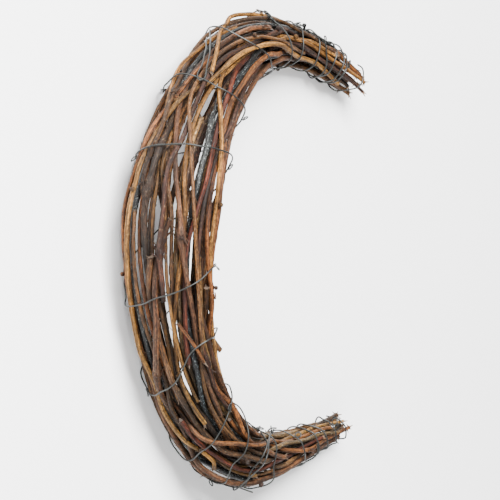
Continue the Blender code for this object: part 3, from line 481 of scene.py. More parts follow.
def close_ends(piece, rim):
    """Closes both ends of a tube with a flat cut, its rim left in bark."""
    bpy.ops.object.mode_set(mode="EDIT")
    bpy.ops.mesh.select_mode(type="FACE")
    bpy.ops.mesh.select_all(action="SELECT")
    bpy.ops.mesh.fill_holes(sides=0)
    bpy.ops.mesh.select_all(action="DESELECT")
    bpy.ops.mesh.select_face_by_sides(number=4, type="GREATER")
    bpy.ops.mesh.inset(thickness=rim, depth=0.0, use_individual=True)
    piece.active_material_index = 1
    bpy.ops.object.material_slot_assign()
    bpy.ops.mesh.inset(thickness=rim, depth=-0.4 * rim, use_individual=True)
    bpy.ops.mesh.select_all(action="SELECT")
    bpy.ops.mesh.normals_make_consistent(inside=False)
    bpy.ops.object.mode_set(mode="OBJECT")


def finish_piece(piece, node):
    """Keeps a piece on the floor, smooths it and sets it in its solid's place."""
    corners = np.empty(len(piece.data.vertices) * 3)
    piece.data.vertices.foreach_get("co", corners)
    corners = corners.reshape(-1, 3)
    corners[:, 2] = np.maximum(corners[:, 2], 0)
    put_corners(piece, corners)
    select_only(piece)
    bpy.ops.object.shade_smooth_by_angle(angle=math.radians(50))
    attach(piece, "root")
    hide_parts(node)


def join_to(piece, others):
    """Joins other meshes to a piece."""
    select_only(piece)
    for other in others:
        other.select_set(True)
    if others:
        bpy.ops.object.join()


# Canes

def cane_form(node, sizes, rng):
    """The fine line of one cane, with its radii, joints, knots, rests and side shoots."""
    centres, radii, knots, rests, shoots = trace_cane(node)
    line, marks, places = smooth_line(centres, sizes.step)
    radius = np.interp(marks, np.arange(len(radii)), radii) * sizes.thickness
    steady = np.ones(len(line))
    for middle in rests + [knot[0] for knot in knots]:
        steady -= bump(places, places[nearest_step(line, middle)], KEPT_LENGTH)
    steady = np.clip(steady, 0, 1)
    joints = joint_places(rng, places, sizes.joint_spacing)
    bends = np.concatenate(([places[0]], joints, [places[-1]]))
    for axis in range(3):
        corner = np.interp(places, bends, rng.uniform(-1, 1, len(bends)))
        slow = drifting(rng, places, 0.040) * 0.35
        line[:, axis] += (corner + slow) * sizes.wander * steady
    for end in (0, -1):
        if line[end, 0] > HORN_START:
            share = np.clip((line[:, 0] - HORN_START) / (HORN_END - HORN_START), 0, 1)
            share = share * (np.sign(line[:, 1]) == np.sign(line[end, 1]))
            spread = rng.uniform(-1, 1, 3) * sizes.splay
            line += share[:, None] ** 1.6 * spread * steady[:, None]
    line[:, 2] = np.maximum(line[:, 2], radius * 0.9)
    return Form(line, places, radius, joints, knots, rests, shoots)


def buried_shares(forms):
    """How deep in the bundle each step of each cane lies: 0 on its outside, 1 inside; it sets how
    much shade is painted on the bark.
    """
    nodes = list(forms)
    points = np.vstack([forms[node].line for node in nodes])
    owner = np.concatenate([np.full(len(forms[node].line), k) for k, node in enumerate(nodes)])
    tree = KDTree(len(points))
    for k, point in enumerate(points):
        tree.insert(point, k)
    tree.balance()
    shares = {}
    for k, node in enumerate(nodes):
        line = forms[node].line
        values = []
        for point in line[::3]:
            near = [index for spot, index, apart in tree.find_range(point, COVER_REACH)
                    if owner[index] != k]
            ways = points[near] - point
            ways = ways / np.maximum(np.linalg.norm(ways, axis=1), 1e-6)[:, None]
            open_side = np.linalg.norm(ways.mean(axis=0)) if len(near) > 6 else 1.0
            values.append(1 - np.clip((open_side - 0.12) / 0.38, 0, 1))
        marks = np.arange(len(line)) / 3
        shares[node] = np.interp(marks, np.arange(len(values)), values)
    return shares


def joint_places(rng, places, spacing):
    """Where a cane has its own growth joints."""
    found = []
    place = places[0] + rng.uniform(0.2, 1.0) * spacing
    while place < places[-1] - 0.01:
        found.append(place)
        place += spacing * rng.uniform(0.6, 1.5)
    return found


def growth(form, spokes, rough, sizes, rng):
    """How far each corner stands out, as a share of the radius, and how knotty it is."""
    line, places = form.line, form.places
    turn = side_angles(spokes.shape[1])
    twist = rng.uniform(-12, 12) * places + rng.uniform(0, 6)
    grow = np.ones((len(line), len(turn)))
    grow *= (1 + 0.07 * drifting(rng, places, 0.018) + 0.05 * drifting(rng, places, 0.006))[:, None]
    for lobes, depth in LOBES:
        lift = drifting(rng, places, LOBE_WAVE)[:, None]
        grow += depth * lift * np.cos(lobes * turn[None, :] + twist[:, None] * lobes)
    knotty = np.zeros((len(line), len(turn)))
    for place in form.joints:
        hump = bump(places, place, rng.uniform(*JOINT_WIDTH))
        side = 0.55 + 0.45 * np.cos(turn - rng.uniform(0, 6))
        grow += sizes.joint_swell * rng.uniform(0.5, 1.4) * hump[:, None] * side[None, :]
        knotty = np.maximum(knotty, 0.75 * hump[:, None] * side[None, :])
    for middle, outward in form.knots:
        hump = bump(places, places[nearest_step(line, middle)], KNOT_WIDTH)
        lean = np.clip(spokes @ outward, 0, 1)
        grow += KNOT_LIFT * hump[:, None] * lean ** 1.5
        knotty = np.maximum(knotty, hump[:, None] * lean)
    for place, strength in rough:
        near = bump(places, place, 0.0045 + 0.0022 * strength)[:, None]
        lumps = rng.uniform(-0.3, 0.55, (len(line), len(turn)))
        grow += near * strength * (0.60 + lumps)
        knotty = np.maximum(knotty, 0.85 * near * (0.7 + lumps))
    return grow, knotty


def press_flat(form, corners, spokes):
    """Presses a cane's underside onto the floor at its resting places."""
    for middle in form.rests:
        hump = bump(form.places, form.places[nearest_step(form.line, middle)], REST_WIDTH)
        down = np.clip(-spokes[:, :, 2], 0, 1) ** 2
        gap = np.maximum(corners[:, :, 2], 0)
        corners[:, :, 2] -= gap * np.clip(hump[:, None] * down * 1.3, 0, 1)


def slant_ends(form, corners, middles, rng):
    """Cuts both ends of a cane at a slant, half of them torn."""
    turn = side_angles(corners.shape[1])
    for end, inner in ((0, 1), (-1, -2)):
        way = unit(form.line[end] - form.line[inner])
        slant = math.tan(math.radians(rng.uniform(*END_SLANT))) * np.cos(turn - rng.uniform(0, 6))
        torn = rng.uniform(-END_TEAR, END_TEAR, len(turn)) * (rng.random() < 0.5)
        corners[end] += np.outer((slant + torn) * form.radius[end] * 0.8, way)
        corners[end] = middles[end] + (corners[end] - middles[end]) * 0.94


def shape_cane(piece, form, rough, sizes, rng):
    """Gives a tube its uneven section, joints, knots and ends; returns its bark and knots."""
    middles, spokes = rings_of(piece, len(form.line))
    grow, knotty = growth(form, spokes, rough, sizes, rng)
    reach = grow * form.radius[:, None]
    corners = middles[:, None, :] + spokes * reach[:, :, None]
    press_flat(form, corners, spokes)
    slant_ends(form, corners, middles, rng)
    corners[:, :, 2] = np.maximum(corners[:, :, 2], 0)
    put_corners(piece, corners)
    number = int(piece.name.split("_")[1])
    grain = grain_places(reach, form.places + number * GRAIN_APART)
    return Bark(form.line, form.places, corners, spokes, grain), knotty


def add_shoot(sections, sizes, rng, grain_start, bark, cut):
    """A short side shoot that ends in a rounded bud, as a small tube of its own."""
    line, marks, places = smooth_line([middle for middle, radius in sections], sizes.step * 0.3)
    radius = np.interp(marks, np.arange(len(sections)), [radius for middle, radius in sections])
    piece = tube("shoot", line, SHOOT_SIDES)
    middles, spokes = rings_of(piece, len(line))
    share = places / places[-1]
    profile = 0.62 + 0.42 * bump(share, 0.78, 0.22)
    profile *= np.sqrt(np.clip(1.03 - np.clip((share - 0.72) / 0.28, 0, 1) ** 2, 0.12, 1))
    turn = side_angles(SHOOT_SIDES)
    grow = 1 + 0.10 * np.cos(2 * turn[None, :] + rng.uniform(0, 6) + 5 * share[:, None])
    put_corners(piece, middles[:, None, :] + spokes * (
        (radius * profile)[:, None] * grow)[:, :, None])
    radius = np.repeat(radius[:, None], SHOOT_SIDES, axis=1)
    put_grain(piece, grain_places(radius, places + grain_start),
              0.45 + 0.35 * (rng.random() < 0.7), 0.48)
    piece.data.materials.append(bark)
    piece.data.materials.append(cut)
    close_ends(piece, sizes.rim)
    return piece


def base_strip():
    """One strip of peeling bark: thin, one long, rising to its free end and tapering."""
    clear_selection()
    bpy.ops.mesh.primitive_grid_add(x_subdivisions=5, y_subdivisions=2, size=1.0)
    piece = bpy.context.object
    for corner in piece.data.vertices:
        along = corner.co.x + 0.5
        corner.co.y *= 1.0 - 0.65 * along
        corner.co.z = 1.0 * along ** 2 - 0.35 * abs(corner.co.y)
        corner.co.x = along
    thick = piece.modifiers.new("thick", "SOLIDIFY")
    thick.thickness = 0.22
    thick.offset = 0.0
    bpy.ops.object.modifier_apply(modifier=thick.name)
    return taken_apart(piece)


def base_fibre():
    """One torn fibre: a thin cone, one long, that bends over."""
    clear_selection()
    bpy.ops.mesh.primitive_cone_add(vertices=5, radius1=0.5, radius2=0.1, depth=1.0,
                                    location=(0, 0, 0.5))
    bpy.ops.object.transform_apply(location=True)
    bpy.ops.object.mode_set(mode="EDIT")
    bpy.ops.mesh.select_all(action="SELECT")
    for height in (0.35, 0.7):
        bpy.ops.mesh.select_all(action="SELECT")
        bpy.ops.mesh.bisect(plane_co=(0, 0, height), plane_no=(0, 0, 1))
    bpy.ops.object.mode_set(mode="OBJECT")
    piece = bpy.context.object
    for corner in piece.data.vertices:
        corner.co.x += 1.4 * corner.co.z ** 2
    return taken_apart(piece)


def taken_apart(piece):
    """A mesh's corners and faces; the object itself is removed."""
    corners = np.array([corner.co[:] for corner in piece.data.vertices])
    faces = [tuple(face.vertices) for face in piece.data.polygons]
    bpy.data.objects.remove(piece)
    return corners, faces


def add_scraps(name, base, frames, knot, tone, material):
    """Many copies of a base shape as one mesh, each in its own frame on the cane."""
    corners, faces = base
    placed = []
    joined = []
    grain = []
    for number, (origin, along, across, out, mark) in enumerate(frames):
        placed.append(origin + corners[:, :1] * along + corners[:, 1:2] * across
                      + corners[:, 2:] * out)
        joined.extend(tuple(c + number * len(corners) for c in face) for face in faces)
        grain.append(mark + corners * SCRAP_GRAIN)
    mesh = bpy.data.meshes.new(name)
    mesh.from_pydata(np.vstack(placed).tolist(), [], joined)
    piece = bpy.data.objects.new(name, mesh)
    bpy.context.collection.objects.link(piece)
    put_grain(piece, np.vstack(grain), knot, tone)
    mesh.materials.append(material)
    return piece


def ring_and_way(bark, ring):
    """A ring that isn't an end, and the cane's way there."""
    ring = min(max(ring, 1), len(bark.line) - 2)
    return ring, unit(bark.line[ring + 1] - bark.line[ring - 1])


def scrap_frames(bark, picks, size, rng):
    """Frames on the bark at the picked rings: root just under it, tip along the cane."""
    length, width, lift, lean = size
    frames = []
    for ring, side in picks:
        ring, way = ring_and_way(bark, ring)
        way = way * either_way(rng)
        out = bark.spokes[ring, side]
        across = np.cross(out, way)
        turned = unit(way * math.cos(lean) + across * rng.uniform(-0.5, 0.5)
                      + out * math.sin(lean))
        stretch = rng.uniform(0.6, 1.4)
        frames.append((bark.corners[ring, side] - out * SCRAP_ROOT, turned * length * stretch,
                       across * width * rng.uniform(0.6, 1.3),
                       out * lift * rng.uniform(0.3, 1.5), bark.grain[ring, side]))
    return frames


def stub_frames(bark, joints, sizes, rng):
    """Frames of the broken stubs that stand on some growth joints."""
    frames = []
    for place in joints:
        if rng.random() < sizes.stub_share:
            ring, way = ring_and_way(bark, step_at(bark.places, place))
            side = int(rng.integers(0, bark.spokes.shape[1]))
            way = way * either_way(rng)
            out = bark.spokes[ring, side]
            heading = unit(out + way * rng.uniform(0.2, 1.2))
            thick = rng.uniform(*STUB_THICKNESS)
            frames.append((bark.corners[ring, side] - out * STUB_ROOT, way * thick,
                           np.cross(way, out) * thick, heading * rng.uniform(*STUB_LENGTH),
                           bark.grain[ring, side]))
    return frames


def picks_at_joints(bark, joints, roughness, rng):
    """Rings and sides for the torn fibres at the growth joints."""
    picks = []
    for place in joints:
        ring = step_at(bark.places, place)
        for k in range(int(rng.integers(0, 4) * (0.5 + roughness))):
            picks.append((ring + int(rng.integers(-1, 2)),
                          rng.integers(0, bark.spokes.shape[1])))
    return picks


def picks_at_knots(bark, rough, count, spread, rng):
    """Rings and sides round the rough knots, more of them where a knot is strong."""
    picks = []
    for place, strength in rough:
        ring = step_at(bark.places, place)
        for k in range(int(count * strength)):
            picks.append((ring + int(rng.normal(0, spread)),
                          rng.integers(0, bark.spokes.shape[1])))
    return picks


def peeling_bark(bark, joints, rough, roughness, bases, sizes, rng, material):
    """Strips along a cane, and stubs, fibres and shreds at its joints and rough knots."""
    strip, fibre = bases
    rings, sides = bark.corners.shape[:2]
    count = int(roughness * bark.places[-1] / sizes.strip_spacing)
    picks = [(rng.integers(2, rings - 2), rng.integers(0, sides)) for k in range(count)]
    strips = scrap_frames(bark, picks, STRIP_SIZE, rng)
    picks = picks_at_joints(bark, joints, roughness, rng)
    stubs = stub_frames(bark, joints, sizes, rng)
    picks += picks_at_knots(bark, rough, KNOT_FIBRES, 1.6, rng)
    torn = picks_at_knots(bark, rough, KNOT_SHREDS, 2.5, rng)
    shreds = scrap_frames(bark, torn, SHRED_SIZE, rng)
    fibres = scrap_frames(bark, picks, FIBRE_SIZE, rng)
    return [add_scraps(name, base, frames, knot, tone, material)
            for name, base, frames, knot, tone in (
                ("strips", strip, strips, 0.25, 0.8), ("stubs", fibre, stubs, 0.7, 0.8),
                ("shreds", strip, shreds, 0.75, 0.8), ("fibres", fibre, fibres, 0.60, 0.8))
            if frames]


def splinters(bark, base, rng, material):
    """Torn splinters at a cane's ends, more and longer at the tips of the horns."""
    found = []
    for end, inner in ((0, 1), (-1, -2)):
        at_tip = bark.line[end, 0] > HORN_START
        way = unit(bark.line[end] - bark.line[inner])
        frames = []
        for k in range(int(rng.integers(*(TIP_SPLINTERS if at_tip else INNER_SPLINTERS)))):
            side = int(rng.integers(0, bark.corners.shape[1]))
            spoke = bark.corners[end, side] - bark.line[end]
            size = np.linalg.norm(spoke)
            spoke = spoke / size
            heading = unit(way + spoke * rng.uniform(-0.1, 0.45))
            across = np.cross(way, spoke)
            length = rng.uniform(*(TIP_SPLINTER_LENGTH if at_tip else INNER_SPLINTER_LENGTH))
            thick = rng.uniform(*SPLINTER_THICKNESS)
            origin = bark.line[end] + spoke * size * rng.uniform(0.3, 0.75) - way * SPLINTER_ROOT
            frames.append((origin, spoke * thick, across * thick, heading * length,
                           bark.grain[end, side]))
        found.append(add_scraps("splinters", base, frames, 0.2, 0.95 if at_tip else 0.35,
                                material))
    return found


def bark_tones_and_shade(line, places, buried, patches, sizes, rng):
    """The colour that multiplies the bark at each step of a cane: random tone, dark patches, a tint
    low down, darker cut ends inside the wreath, and painted shade deep in the bundle.
    """
    tone = 1.0 + TONE_SPREAD * rng.uniform(-1, 1) + TONE_SPREAD * drifting(rng, places, 0.05)
    # Painted shade: the bark is darkened where the cane lies deep in the bundle, as if in the shadow
    # of the canes round it.
    tone = tone * (1 - sizes.painted_inner_shade * buried) * (1 - PATCH_SHADE * patches)
    hue = 0.5 * rng.uniform(-1, 1) + 0.5 * drifting(rng, places, 0.07)
    tones_and_shade = tone[:, None] * (1 + hue[:, None] * np.array(HUE_SPREAD))
    low = np.clip((LOW_START - line[:, 1]) / LOW_WIDTH, 0, 1)[:, None]
    tones_and_shade = tones_and_shade * (1 + low * np.array(LOW_TINT))
    for end in (0, -1):
        if line[end, 0] < HORN_START:
            tones_and_shade[end] *= END_SHADE
    return tones_and_shade


def make_cane(node, form, rough, patches, tendrils, buried, bases, sizes, barks):
    """One cane with its bark, knots, side shoots, peeling bark and cut ends."""
    number, kind = int(node.split("_")[1]), node.split("_")[2]
    slot = "bark_" + kind
    material, cut = barks[slot], barks["cut_wood"]
    rng = np.random.default_rng(CANE_SEED + number)
    piece = tube(node + "_bark", form.line, sizes.sides)
    bark, knotty = shape_cane(piece, form, rough, sizes, rng)
    # Tones with painted shade where the cane lies deep in the bundle.
    tones_and_shade = bark_tones_and_shade(form.line, form.places, buried, patches, sizes, rng)
    put_grain(piece, bark.grain, knotty, np.repeat(tones_and_shade[:, None, :], sizes.sides, axis=1))
    piece.data.materials.append(material)
    piece.data.materials.append(cut)
    close_ends(piece, sizes.rim)
    grain_start = number * GRAIN_APART
    parts = [add_shoot(sections, sizes, rng, grain_start + k, material, cut)
             for k, sections in enumerate(form.shoots)]
    for step, outward, size in tendrils:
        path = curl_line(form.line, step, outward, size, rng) + outward * form.radius[step] * 0.8
        parts.append(plain_tube("tendril", path, np.linspace(*TENDRIL_RADIUS, len(path)),
                                THIN_SIDES, material, grain_start + 1, 0.5))
    roughness = next(row[5] for row in BARK_KINDS if row[0] == kind)
    parts += peeling_bark(bark, form.joints, rough, roughness, bases, sizes, rng, material)
    parts += splinters(bark, bases[1], rng, cut)
    join_to(piece, parts)
    finish_piece(piece, node)


def photo_place(points):
    """Where points are seen in the photograph, and how far each is from the camera."""
    eye = np.array(CRESCENT_CENTRE) - np.array(ALONG_VIEW) * VIEW_STEPS * STEP_SIZE
    ray = points - eye
    depth = ray @ np.array(ALONG_VIEW)
    across = ray @ np.array(TO_RIGHT) / depth * VIEW_STEPS
    up = ray @ np.array(TO_TOP) / depth * VIEW_STEPS
    half = IMAGE_STEPS / 2
    seen = np.stack([half + across - CENTRE_SHIFT[0], half - up + CENTRE_SHIFT[1]], axis=1)
    return seen, depth


def dark_patches_on(lines):
    """How burnt or soiled each step of each cane is, near the photograph's dark patches."""
    soiled = {}
    for node, line in lines.items():
        seen, depth = photo_place(line)
        share = np.zeros(len(line))
        for x, y, reach in DARK_PATCHES:
            apart = np.linalg.norm(seen - (x, y), axis=1) * STEP_SIZE
            share = np.maximum(share, np.exp(-(apart / reach) ** 2))
        soiled[node] = share
    return soiled


def rough_knots_on(forms):
    """For each rough knot of the photograph, the nearest cane in front there."""
    rough = {node: [] for node in forms}
    for x, y, strength in ROUGH_KNOTS:
        best = None
        for node, form in forms.items():
            seen, depth = photo_place(form.line)
            apart = np.linalg.norm(seen - (x, y), axis=1)
            ring = int(np.argmin(apart))
            cost = (apart[ring] * STEP_SIZE - KNOT_THICK_WEIGHT * form.radius[ring]
                    + KNOT_DEPTH_WEIGHT * (depth[ring] - VIEW_STEPS * STEP_SIZE))
            if apart[ring] < KNOT_PICK and (best is None or cost < best[0]):
                best = (cost, node, form.places[ring])
        if best:
            rough[best[1]].append((best[2], strength))
    return rough


def cane_corners():
    """Every corner of the solid canes, as one list of points."""
    found = []
    for node in CANES:
        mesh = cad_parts[node].data
        corners = np.empty(len(mesh.vertices) * 3)
        mesh.vertices.foreach_get("co", corners)
        found.append(corners.reshape(-1, 3))
    return np.vstack(found)


def outward_at(point, corners):
    """The way out of the bundle at a point on its outside."""
    near = corners[np.linalg.norm(corners - point, axis=1) < BUNDLE_REACH]
    return unit(point - near.mean(axis=0))


def nearest_in_front(lines, x, y, reach):
    """The line, and its step, that is seen nearest to a place of the photograph."""
    best = None
    for name, line in lines.items():
        seen, depth = photo_place(line)
        apart = np.linalg.norm(seen - (x, y), axis=1)
        cost = apart * STEP_SIZE + DEPTH_WEIGHT * (depth - VIEW_STEPS * STEP_SIZE)
        cost[apart > reach] = np.inf
        step = int(np.argmin(cost))
        if np.isfinite(cost[step]) and (best is None or cost[step] < best[0]):
            best = (cost[step], name, step)
    return best[1:] if best else (None, 0)


def curl_line(line, step, outward, size, rng):
    """A small loop that leaves a line along its own direction and closes on itself."""
    step = min(max(step, 1), len(line) - 2)
    way = unit(line[step + 1] - line[step - 1]) * either_way(rng)
    outward = unit(outward - way * (outward @ way))
    lean = math.radians(rng.uniform(15, 55))
    aside = np.cross(way, outward) * either_way(rng)
    outward, aside = (outward * math.sin(lean) + aside * math.cos(lean),
                      outward * math.cos(lean) - aside * math.sin(lean))
    turns = rng.uniform(0.8, 1.3)
    t = np.linspace(0, turns * 2 * math.pi, int(26 * turns))
    radius = size * (1 - 0.25 * t / t[-1]) * (1 + 0.15 * np.sin(t * 1.5 + rng.uniform(0, 6)))
    radius = radius * (1 - np.exp(-t * 2.0)) + size * np.exp(-t * 2.0)
    centre = line[step] + outward * size
    wind = np.outer(radius * np.sin(t), way) - np.outer(radius * np.cos(t), outward)
    points = centre + wind + np.outer(rng.uniform(0.1, 0.6) * size * t / t[-1], aside)
    tail = points[-1] + (points[-1] - points[-3]) * rng.uniform(1.0, 2.6)
    points = np.vstack((points, tail))
    points[:, 2] = np.maximum(points[:, 2], 0.0008)
    return points


def plain_tube(name, line, radius, sides, material, grain_start, tone):
    """A closed round tube with the values that the finishes read."""
    piece = tube(name, line, sides)
    middles, spokes = rings_of(piece, len(line))
    put_corners(piece, middles[:, None, :] + spokes * radius[:, None, None])
    steps = np.linalg.norm(np.diff(line, axis=0), axis=1)
    places = np.concatenate(([0.0], np.cumsum(steps))) + grain_start
    put_grain(piece, grain_places(np.repeat(radius[:, None], sides, axis=1), places), 0.4, tone)
    piece.data.materials.append(material)
    piece.data.materials.append(material)
    close_ends(piece, float(radius.min()) * 0.25)
    return piece


# Wires

def wire_lines(sizes):
    """The smooth line of every wire, with small bends of the hand that wound it."""
    lines = {}
    for k, node in enumerate(WIRES):
        clusters = clusters_along(node, WIRE_REACH)
        centres = np.array([cluster.mean(axis=0) for cluster in clusters])
        line, marks, places = smooth_line(centres, sizes.wire_step)
        rng = np.random.default_rng(WIRE_LINE_SEED + k)
        for axis in range(3):
            line[:, axis] += sizes.wire_wander * drifting(rng, places, 0.011)
        aside = line - np.array(CRESCENT_CENTRE)
        aside = np.stack([-aside[:, 1], aside[:, 0], 0 * aside[:, 2]], axis=1)
        aside = aside / np.linalg.norm(aside, axis=1)[:, None]
        line += aside * (sizes.wire_drift * drifting(rng, places, 0.024))[:, None]
        line[:, 2] = np.maximum(line[:, 2], sizes.wire_radius * 1.3)
        lines[node] = line
    return lines


def make_wire(node, line, curls, sizes, material):
    """One binding wire, round, on its solid's line, with its curled ends and loops."""
    rng = np.random.default_rng(WIRE_SEED + len(line))
    places = np.arange(len(line)) * sizes.wire_step
    radius = sizes.wire_radius * (1 + 0.05 * drifting(rng, places, 0.01))
    piece = plain_tube(node + "_round", line, radius, WIRE_SIDES, material, 0.0, 1.0)
    loops = []
    for step, outward, size in curls:
        path = curl_line(line, step, outward, size, rng)
        thin = np.full(len(path), sizes.wire_radius * CURL_THICKNESS)
        loops.append(plain_tube("loop", path, thin, THIN_SIDES, material, 5.0 + step, 1.0))
    join_to(piece, loops)
    finish_piece(piece, node)


# Finishes

class Nodes:
    """A short way to lay out the nodes of one finish."""

    def __init__(self, name):
        self.material = bpy.data.materials.new(name)
        self.material.use_nodes = True
        self.tree = self.material.node_tree
        self.shader = next(n for n in self.tree.nodes if n.type == "BSDF_PRINCIPLED")
        self.column = -1600

    def link(self, start, end):
        """Joins one socket to another."""
        self.tree.links.new(start, end)

    def add(self, kind, **values):
        """A new node of a kind, with its settings."""
        node = self.tree.nodes.new(kind)
        self.column += 40
        node.location = (self.column, -self.column % 400)
        for key, value in values.items():
            setattr(node, key, value)
        return node

    def stored(self, name):
        """What is stored on the corners under a name."""
        return self.add("ShaderNodeAttribute", attribute_name=name)

    def noise(self, place, scale, detail=3.0, roughness=0.55, distortion=0.0):
        """Noise with so many waves in a metre along each of a place's three directions."""
        stretch = self.add("ShaderNodeMapping")
        stretch.inputs["Scale"].default_value = scale
        self.link(place, stretch.inputs["Vector"])
        node = self.add("ShaderNodeTexNoise")
        node.inputs["Scale"].default_value = 1.0
        node.inputs["Detail"].default_value = detail
        node.inputs["Roughness"].default_value = roughness
        node.inputs["Distortion"].default_value = distortion
        self.link(stretch.outputs["Vector"], node.inputs["Vector"])
        return node.outputs["Fac"]

    def ramp(self, value, low, high, start=0.0, end=1.0):
        """A value that goes from start to end while another goes from low to high."""
        node = self.add("ShaderNodeMapRange")
        node.inputs["From Min"].default_value = low
        node.inputs["From Max"].default_value = high
        node.inputs["To Min"].default_value = start
        node.inputs["To Max"].default_value = end
        self.link(value, node.inputs["Value"])
        return node.outputs["Result"]

    def tint(self, amount, under, over, way="MIX"):
        """Colour under, turned to colour over by an amount from 0 to 1."""
        node = self.add("ShaderNodeMix", data_type="RGBA", blend_type=way)
        colours = [socket for socket in node.inputs if socket.type == "RGBA"]
        for socket, colour in zip(colours, (under, over)):
            if isinstance(colour, tuple):
                socket.default_value = (*colour[:3], 1.0)
            else:
                self.link(colour, socket)
        factor = node.inputs["Factor"]
        if isinstance(amount, float):
            factor.default_value = amount
        else:
            self.link(amount, factor)
        return next(socket for socket in node.outputs if socket.type == "RGBA")

    def maths(self, way, a, b):
        """One step of arithmetic on two values."""
        node = self.add("ShaderNodeMath", operation=way)
        for socket, value in zip(node.inputs, (a, b)):
            if isinstance(value, (int, float)):
                socket.default_value = value
            else:
                self.link(value, socket)
        return node.outputs["Value"]


def linear(value):
    """A colour's channel as light, from the channel as seen."""
    return value / 12.92 if value <= 0.04045 else ((value + 0.055) / 1.055) ** 2.4


def shade(colour, factor):
    """A colour made lighter or darker."""
    return tuple(min(1.0, c * factor) for c in colour)


def bark_finish(name, colour, flecks, fleck_colour, weathering, sheen):
    """Bark: long streaks, fine fibres, dark cracks, grey weathering, flecks and dark knots, times
    the stored tone with its painted shade.
    """
    n = Nodes(name)
    base = tuple(BARK_DEPTH * linear(c) ** BARK_RICHNESS for c in colour)
    place = n.stored("grain").outputs["Vector"]
    streak = n.noise(place, (760, 760, 20), 5.0, 0.62, 0.5)
    fibre = n.noise(place, (1700, 1700, 60), 3.0, 0.6)
    crack = n.noise(place, (950, 950, 45), 2.0, 0.5, 0.3)
    patch = n.noise(place, (170, 170, 42), 4.0, 0.62)
    speck = n.noise(place, (1300 + 1100 * sheen, 1300 + 1100 * sheen, 420 + 500 * sheen),
                    2.0, 0.5)
    dash = n.noise(place, (900, 900, 360), 3.0, 0.66, 0.3)
    tone = n.stored("tone").outputs["Color"]
    knot = n.stored("knot").outputs["Fac"]
    hue = n.tint(n.ramp(streak, 0.38, 0.62), shade(base, 0.28), shade(base, 1.85))
    hue = n.tint(n.ramp(patch, 0.48, 0.70, 0.0, weathering), hue, (0.040, 0.026, 0.017))
    hue = n.tint(n.ramp(fibre, 0.36, 0.60, 0.70, 0.0), hue, shade(base, 0.16))
    hue = n.tint(n.ramp(crack, 0.32, 0.42, 0.92, 0.0), hue, (0.020, 0.014, 0.010))
    mottle = n.noise(place, (520, 520, 230), 3.0, 0.6)
    hue = n.tint(n.ramp(mottle, 0.54, 0.62, 0.0, 0.75), hue, shade(base, 0.22))
    hue = n.tint(n.ramp(dash, 0.53, 0.57, 0.0, 0.55 + 0.60 * weathering), hue,
                 shade(base, 0.13))
    hue = n.tint(n.ramp(speck, 0.62, 0.70, 0.0, flecks), hue,
                 tuple(linear(c) * 0.75 for c in fleck_colour))
    hue = n.tint(n.ramp(knot, 0.20, 1.0, 0.0, 0.85), hue, shade(base, 0.12))
    # The stored tone holds random tone and painted shade deep in the bundle.
    hue = n.tint(1.0, hue, tone, "MULTIPLY")
    n.link(hue, n.shader.inputs["Base Color"])
    n.link(n.ramp(streak, 0.3, 0.7, 0.80 - 0.4 * sheen, 0.55 - 0.4 * sheen),
           n.shader.inputs["Roughness"])
    n.shader.inputs["Specular IOR Level"].default_value = 0.20 + 0.1 * sheen
    height = n.maths("ADD", n.maths("MULTIPLY", streak, 0.5), n.maths("MULTIPLY", fibre, 0.3))
    height = n.maths("ADD", height, n.ramp(crack, 0.28, 0.42, 0.0, 0.35))
    relief = n.add("ShaderNodeBump")
    relief.inputs["Strength"].default_value = 1.0
    relief.inputs["Distance"].default_value = 0.0011
    n.link(height, relief.inputs["Height"])
    n.link(relief.outputs["Normal"], n.shader.inputs["Normal"])
    return n.material


def cut_finish(name):
    """A cut end: pale wood with rings round a small brown pith."""
    n = Nodes(name)
    place = n.stored("grain").outputs["Vector"]
    split = n.add("ShaderNodeSeparateXYZ")
    n.link(place, split.inputs["Vector"])
    across = n.maths("SQRT", n.maths("ADD", n.maths("MULTIPLY", split.outputs["X"],
                                                    split.outputs["X"]),
                                     n.maths("MULTIPLY", split.outputs["Y"],
                                             split.outputs["Y"])), 0.0)
    grain = n.noise(place, (2600, 2600, 2600), 3.0, 0.6)
    ring = n.maths("SINE", n.maths("MULTIPLY", across, 9000.0), 0.0)
    hue = n.tint(n.ramp(ring, -1.0, 1.0, 0.0, 0.35), (0.150, 0.090, 0.050), (0.075, 0.043, 0.023))
    hue = n.tint(n.ramp(grain, 0.4, 0.7, 0.0, 0.6), hue, (0.08, 0.045, 0.025))
    hue = n.tint(n.ramp(across, 0.0003, 0.0007, 0.85, 0.0), hue, (0.04, 0.022, 0.013))
    # The stored tone holds random tone and painted shade deep in the bundle.
    hue = n.tint(1.0, hue, n.stored("tone").outputs["Color"], "MULTIPLY")
    n.link(hue, n.shader.inputs["Base Color"])
    n.shader.inputs["Roughness"].default_value = 0.85
    relief = n.add("ShaderNodeBump")
    relief.inputs["Strength"].default_value = 0.4
    relief.inputs["Distance"].default_value = 0.0003
    n.link(grain, relief.inputs["Height"])
    n.link(relief.outputs["Normal"], n.shader.inputs["Normal"])
    return n.material


def wire_finish(name, colour):
    """Dark drawn wire with a little dull tarnish."""
    n = Nodes(name)
    base = tuple(linear(c) for c in colour)
    place = n.stored("grain").outputs["Vector"]
    cloud = n.noise(place, (500, 500, 60), 4.0, 0.6)
    scratch = n.noise(place, (4000, 4000, 150), 2.0, 0.5)
    hue = n.tint(n.ramp(cloud, 0.4, 0.66), shade(base, 1.5), shade(base, 0.6))
    n.link(hue, n.shader.inputs["Base Color"])
    n.link(n.ramp(cloud, 0.3, 0.7, 0.32, 0.55), n.shader.inputs["Roughness"])
    n.shader.inputs["Metallic"].default_value = 0.7
    relief = n.add("ShaderNodeBump")
    relief.inputs["Strength"].default_value = 0.15
    relief.inputs["Distance"].default_value = 0.0002
    n.link(scratch, relief.inputs["Height"])
    n.link(relief.outputs["Normal"], n.shader.inputs["Normal"])
    return n.material


